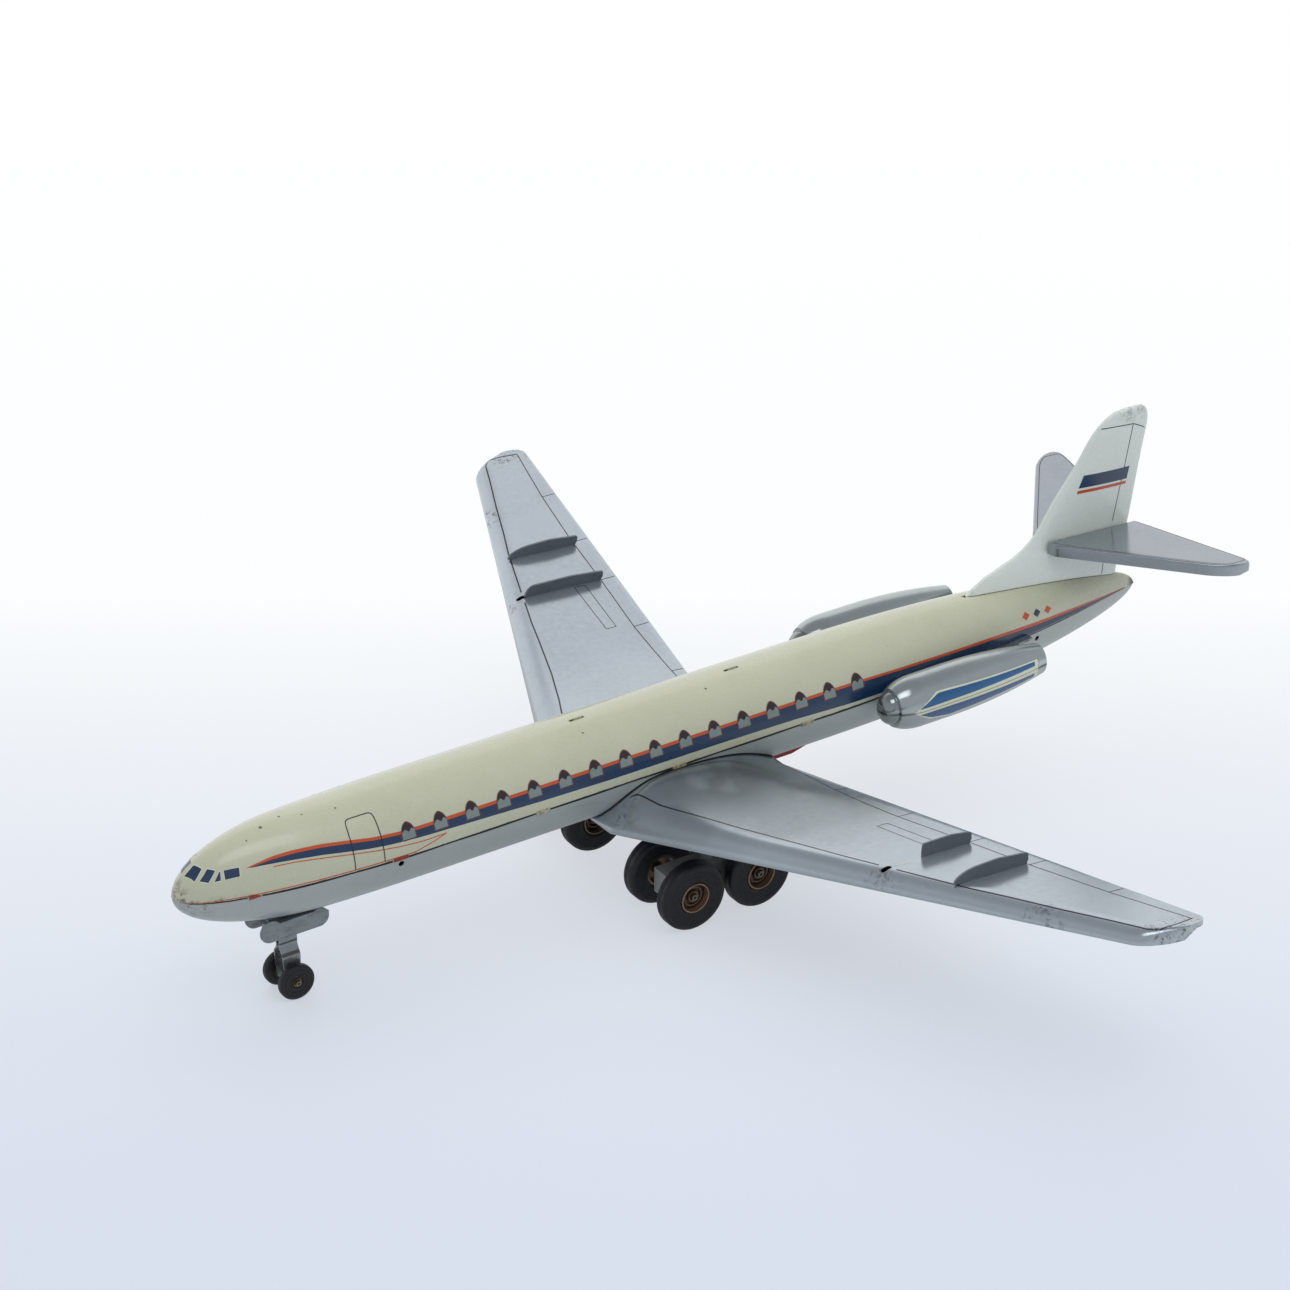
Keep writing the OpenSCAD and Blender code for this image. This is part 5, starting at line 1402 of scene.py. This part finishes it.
box = [(-24.8, 104), (-29.8, 139), (-35.6, 139), (-30.2, 104), (-24.8, 104)]
for a, b in zip(box, box[1:]):
    wing_strokes.append(stroke([a, b], 0.36))
scrape_lines = [stroke([(3.4, 139.9), (2.4, 140.2), (1.2, 140.5)], 0.9),
    stroke([(-5.2, 141.2), (-9.6, 141.9), (-13.4, 142.1)], 0.9)]
for side, wing, way in (("left", left_wing, 1), ("right", right_wing, -1)):
    hold, far_below = held_above(way, 110), (0, way * 130, -300)
    print_onto(side + "_wing_lines", [patch(a, b, step=1.5) for a, b in wing_strokes], wing,
        hold, line_ink, "Z", lift=0.03, inside=far_below)
    print_onto(side + "_wing_scrape", [patch(a, b, step=0.8) for a, b in scrape_lines], wing,
        hold, scraped, "Z", lift=0.04, inside=far_below)

# %% [markdown]
# ## Painted shade round the tailplanes
# A narrow dark line is painted just inside the turned-down edge of each tailplane as painted
# shade along the fold. The line follows the same two outline curves as the tray.

# %% Draw the painted fold shade
FROM_EDGE = 1.7
rim_ys = [5, 12, 20, 30, 40, 50, 58, 61, 63, 65, 66.3]
# Painted shade: a dark line just inside the fold of each tailplane.
rim = [(tail_lead(min(y + 0.9, 68.9)) - FROM_EDGE, y) for y in rim_ys]
rim += [(tail_trail(min(y + 0.9, 68.9)) + FROM_EDGE, y) for y in reversed(rim_ys)]
for side, tail, way in (("left", left_tail, 1), ("right", right_tail, -1)):
    print_onto(side + "_tailplane_rim", [patch(*stroke(rim, 0.4), step=1.5)], tail,
        held_above(way, 130), line_ink, "Z", lift=0.03, inside=(-230, way * 30, -300))

# %% [markdown]
# ## Lines on the fin
# The rudder and the tip of the fin are drawn with the same thin dark line on both halves.

# %% Draw the fin lines
tip_line = [(-224.1, 147.8), (-233, 147.1), (-242.5, 146.1), (-246, 144.4), (-248.6, 143),
    (-250.2, 141.8)]
rudder_line = [(-242.5, 146.1), (-238, 122.5), (-233.3, 99.3)]
rudder_foot = [(-231.2, 90.5), (-229.4, 78.4), (-228.9, 73.4)]
fin_strokes = [stroke(line, 0.45) for line in (tip_line, rudder_line, rudder_foot)]
fin_halves = (("left", left_fin, 1), ("right", right_fin, -1))
for side, half, way in fin_halves:
    print_onto(side + "_fin_lines", [patch(a, b, step=1.2) for a, b in fin_strokes], half,
        held_beside(way, 25), line_ink, "Y", lift=0.03, inside=(-230, -way * 30, 110))

# %% [markdown]
# ## Grime at the foot of the fin
# Dirt has gathered where the fin meets the body. A narrow dark line follows the foot of the
# fin, found from the thickness of the fin at each place along it.

# %% Lay the grime line
foot_line = []
for i in range(45):
    x = -151 - 86.5 * i / 44
    y = FIN_THICK * fin_bulge(i / 44) + 0.15
    foot_line.append((x, FUSELAGE_R * acos(min(1, y / half_width(x)))))
print_on_hull("fin_foot_grime", [patch(foot_line, [(x, s - 0.55) for x, s in foot_line], step=2)],
    grime_ink, lift=0.03)

# %% [markdown]
# ## Plain flashes on the tail
# The fin carries a plain slanted flash with a thin orange one under it, and the rear of the
# body has a row of three small lozenges. All are four-sided patches.

# %% Lay the flashes and the lozenges
flash = patch([(-212, 121.5), (-240.6, 119)], [(-214.8, 127.2), (-241.9, 125)], step=1.5, across=4)
thin_flash = patch([(-211, 118.9), (-240, 116.6)], [(-211.6, 120.4), (-240.3, 118)], step=1.5)
for side, half, way in fin_halves:
    for name, shape, ink in (("_fin_flash", flash, navy), ("_fin_thin_flash", thin_flash, orange)):
        print_onto(side + name, [shape], half, held_beside(way, 25), ink, "Y", lift=0.05,
            inside=(-230, -way * 30, 110))


def lozenge(x, s):
    wide, tall = 2.3, 2.6
    return patch([(x - wide, s), (x, s + tall)], [(x, s - tall), (x + wide, s)], step=0.8, across=4)


print_on_hull("lozenges_warm", [lozenge(-176, 11.6), lozenge(-190, 10.6)], orange, lift=0.06)
print_on_hull("lozenge_cool", [lozenge(-183, 11.1)], navy, lift=0.06)

# %% [markdown]
# ## Panels on the engines
# Each engine has a blue panel above and below its seam, both with a narrow cream border.
# The cream goes down first and the blue is laid on top of it.

# %% Lay the engine panels
panel_prints = {
    "top": ([(-90.0, 62.5), (-102.3, 69.1), (-160.9, 66.3)],
        [(-90.0, 62.12), (-102.3, 62.12), (-160.9, 62.12)],
        [(-92.8, 63.7), (-103.0, 68.3), (-159.0, 65.8)],
        [(-92.8, 63.45), (-103.0, 63.45), (-159.0, 63.9)], panel_blue),
    "bottom": ([(-90.6, 61.5), (-98.5, 56.9), (-110, 54.6), (-160.9, 57.7)],
        [(-90.6, 61.88), (-98.5, 61.88), (-110, 61.88), (-160.9, 61.88)],
        [(-93.0, 60.6), (-99.2, 57.6), (-110, 55.4), (-159.0, 58.2)],
        [(-93.0, 60.75), (-99.2, 60.75), (-110, 60.7), (-159.0, 60.2)], panel_dusk)}
for half in nacelles:
    side, _, level = half.name.split("_")
    way = 1 if side == "left" else -1
    border_far, border_near, blue_far, blue_near, blue = panel_prints[level]
    hold, middle = held_beside(way, 60), (-125, way * NACELLE_Y, FUSELAGE_Z)
    border_shape = patch(border_near, border_far, step=1.5, across=6)
    blue_shape = patch(blue_near, blue_far, step=1.5, across=5)
    print_onto(side + "_panel_border_" + level, [border_shape], half, hold, panel_cream, "Y",
        lift=0.05, inside=middle)
    print_onto(side + "_panel_blue_" + level, [blue_shape], half, hold, blue, "Y",
        lift=0.09, inside=middle)

# %% [markdown]
# ## Paper floor
# The toy stands on a pale cool sheet of paper, laid as one large plane under the wheels. It
# belongs to the stage and is no part of the toy.

# %% Lay the paper floor
only()
bpy.ops.mesh.primitive_plane_add(size=12, location=(0, 0, 0))
floor = bpy.context.object
floor.name = "paper_floor"
floor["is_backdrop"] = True
paper = bpy.data.materials.new("paper")
paper.use_nodes = True
tree = paper.node_tree
shader = tree.nodes["Principled BSDF"]
shader.inputs["Base Color"].default_value = colour("#dfe4f0")
shader.inputs["Roughness"].default_value = 0.6
shader.inputs["Specular IOR Level"].default_value = 0.25
floor.data.materials.append(paper)
print("paper floor:", [round(side, 1) for side in floor.dimensions[:2]], "m")

# %% [markdown]
# ## Glow of the paper
# The sheet glows softly, as on a light table, so the shadows are faint, and further off it
# turns plain white. The glow shows only to the camera and in reflections, so no extra light
# reaches the toy. A reflection shows the sheet as darker close to the toy, where the shadow
# lies.

# %% Let the paper glow
WHITE = (1, 1, 1, 1)
AWAY_X = -0.551
AWAY_Y = -0.8345
PAPER_GLOW = 0.45
PAPER_NEAR = (0.595, 0.640, 0.740, 1)
PAPER_MIDDLE = (0.97, 0.99, 1.0, 1)
PAPER_SHADED = (0.34, 0.36, 0.375, 1)
PAPER_MIRRORED = (0.62, 0.65, 0.665, 1)
light_path = add_node(tree, "LightPath")
mirrored = stronger(tree, light_path.outputs["Is Glossy Ray"],
    light_path.outputs["Is Transmission Ray"])
where = add_node(tree, "TexCoord")
away = add_node(tree, "VectorMath", operation="DOT_PRODUCT")
away.inputs[1].default_value = (AWAY_X, AWAY_Y, 0)
tree.links.new(where.outputs["Object"], away.inputs[0])
far = fade(tree, away.outputs["Value"], -0.32, 0.24)
further = fade(tree, away.outputs["Value"], 0.2, 0.9)
share = combine(tree, "ADD", PAPER_GLOW, times(tree, far, 1 - PAPER_GLOW))
from_toy = add_node(tree, "VectorMath", operation="LENGTH")
tree.links.new(where.outputs["Object"], from_toy.inputs[0])
glow = add_node(tree, "Emission")
tones = blend(tree, further, blend(tree, far, PAPER_NEAR, PAPER_MIDDLE), WHITE)
lit_floor = blend(tree, far, PAPER_MIRRORED, WHITE)
shaded = blend(tree, fade(tree, from_toy.outputs["Value"], 0.04, 0.34), PAPER_SHADED, lit_floor)
tree.links.new(blend(tree, mirrored, tones, shaded), glow.inputs["Color"])
glow.inputs["Strength"].default_value = 1
mixed = add_node(tree, "MixShader")
camera_share = times(tree, share, light_path.outputs["Is Camera Ray"])
tree.links.new(stronger(tree, camera_share, mirrored), mixed.inputs[0])
tree.links.new(shader.outputs["BSDF"], mixed.inputs[1])
tree.links.new(glow.outputs["Emission"], mixed.inputs[2])
tree.links.new(mixed.outputs["Shader"], tree.nodes["Material Output"].inputs["Surface"])
print("paper nodes:", len(tree.nodes))

# %% [markdown]
# ## Surroundings
# The camera sees plain white behind the toy. A shiny surface finds that white backdrop low
# down on the far side and a greyer ceiling overhead, which gives the silver its gradients.
# Everything else is lit by a soft daylight that is stronger from above.

# %% Set up the surroundings
world = bpy.data.worlds.new("studio")
bpy.context.scene.world = world
world.use_nodes = True
tree = world.node_tree
sky = tree.nodes["Background"]
sky.inputs["Strength"].default_value = 0.86
white = add_node(tree, "Background")
white.inputs["Strength"].default_value = 1
light_path = add_node(tree, "LightPath")
mirrored = stronger(tree, light_path.outputs["Is Glossy Ray"],
    light_path.outputs["Is Transmission Ray"])
seen = stronger(tree, light_path.outputs["Is Camera Ray"], mirrored)
where = add_node(tree, "TexCoord")
backdrop = add_node(tree, "VectorMath", operation="DOT_PRODUCT")
backdrop.inputs[1].default_value = (AWAY_X, AWAY_Y, -1.0)
tree.links.new(where.outputs["Object"], backdrop.inputs[0])
low_and_away = fade(tree, backdrop.outputs["Value"], -0.12, 0.22)
height = add_node(tree, "SeparateXYZ")
tree.links.new(where.outputs["Object"], height.inputs["Vector"])
daylight = blend(tree, fade(tree, height.outputs["Z"], 0, 0.8), (0.50, 0.52, 0.55, 1), (0.95, 0.98, 1.0, 1))
tree.links.new(daylight, sky.inputs["Color"])
overhead_share = fade(tree, height.outputs["Z"], 0.55, 0.9)
ceiling = blend(tree, overhead_share, (0.47, 0.49, 0.51, 1), (0.24, 0.25, 0.27, 1))
mirrored_room = blend(tree, low_and_away, ceiling, WHITE)
tree.links.new(blend(tree, light_path.outputs["Is Camera Ray"], mirrored_room, WHITE),
    white.inputs["Color"])
choice = add_node(tree, "MixShader")
tree.links.new(seen, choice.inputs[0])
tree.links.new(sky.outputs["Background"], choice.inputs[1])
tree.links.new(white.outputs["Background"], choice.inputs[2])
tree.links.new(choice.outputs["Shader"], tree.nodes["World Output"].inputs["Surface"])
print("world nodes:", len(tree.nodes))

# %% [markdown]
# ## Lamps
# A large overhead lamp gives the soft even light, a small window lamp draws the glints along
# the rounded edges, and a faint fill in front opens the shadows. The overhead and the fill
# don't show in reflections, because the silver would turn flat and white.

# %% Hang the lamps
def soft_lamp(name, location, target, size, watts):
    only()
    bpy.ops.object.light_add(type="AREA", location=location)
    lamp = bpy.context.object
    lamp.name = name
    lamp.data.shape = "RECTANGLE"
    lamp.data.size, lamp.data.size_y = size
    lamp.data.energy = watts
    lamp.rotation_euler = (Vector(target) - Vector(location)).to_track_quat("-Z", "Y").to_euler()
    return lamp


overhead = soft_lamp("overhead", (-0.45, -0.5, 1.5), (0, 0, 0), (2.4, 2.4), 11)
overhead.visible_glossy = False
window = soft_lamp("window", (0.2, 0.62, 1.25), (0.06, 0, 0.08), (0.8, 0.62), 2.8)
front_fill = soft_lamp("front_fill", (1.6, 0.9, 0.9), (0.05, 0, 0.06), (1.2, 1.2), 0.2)
front_fill.visible_glossy = False
print("lamps:", [lamp.name for lamp in (overhead, window, front_fill)])

# %% [markdown]
# ## Camera
# The camera stands ahead of the toy on its left and looks down on it a little. A long lens
# from a good metre and a half away keeps the wings from looking drawn out.

# %% Place the camera
only()
bpy.ops.object.camera_add(location=(0.7925, 1.1591, 0.8671))
camera = bpy.context.object
camera.name = "camera"
aim = Vector((0.02719, 0, 0.11033))
camera.rotation_euler = (aim - camera.location).to_track_quat("-Z", "Y").to_euler()
camera.data.sensor_width = 36
camera.data.lens = 103.83
camera.data.clip_start = 0.05
camera.data.clip_end = 30
bpy.context.scene.camera = camera
bpy.context.scene.view_settings.view_transform = "Standard"
print("camera to aim:", round((aim - camera.location).length, 3), "m, lens", camera.data.lens, "mm")

# %% [markdown]
# ## The size of the dressed toy
# The box of the solids and the box of the dressed toy are both printed.

# %% Print both boxes
seen_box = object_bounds()
for name, corners in (("solids", cad_box), ("dressed", seen_box)):
    print(name, [[round(v / MM, 2) for v in c] for c in corners])
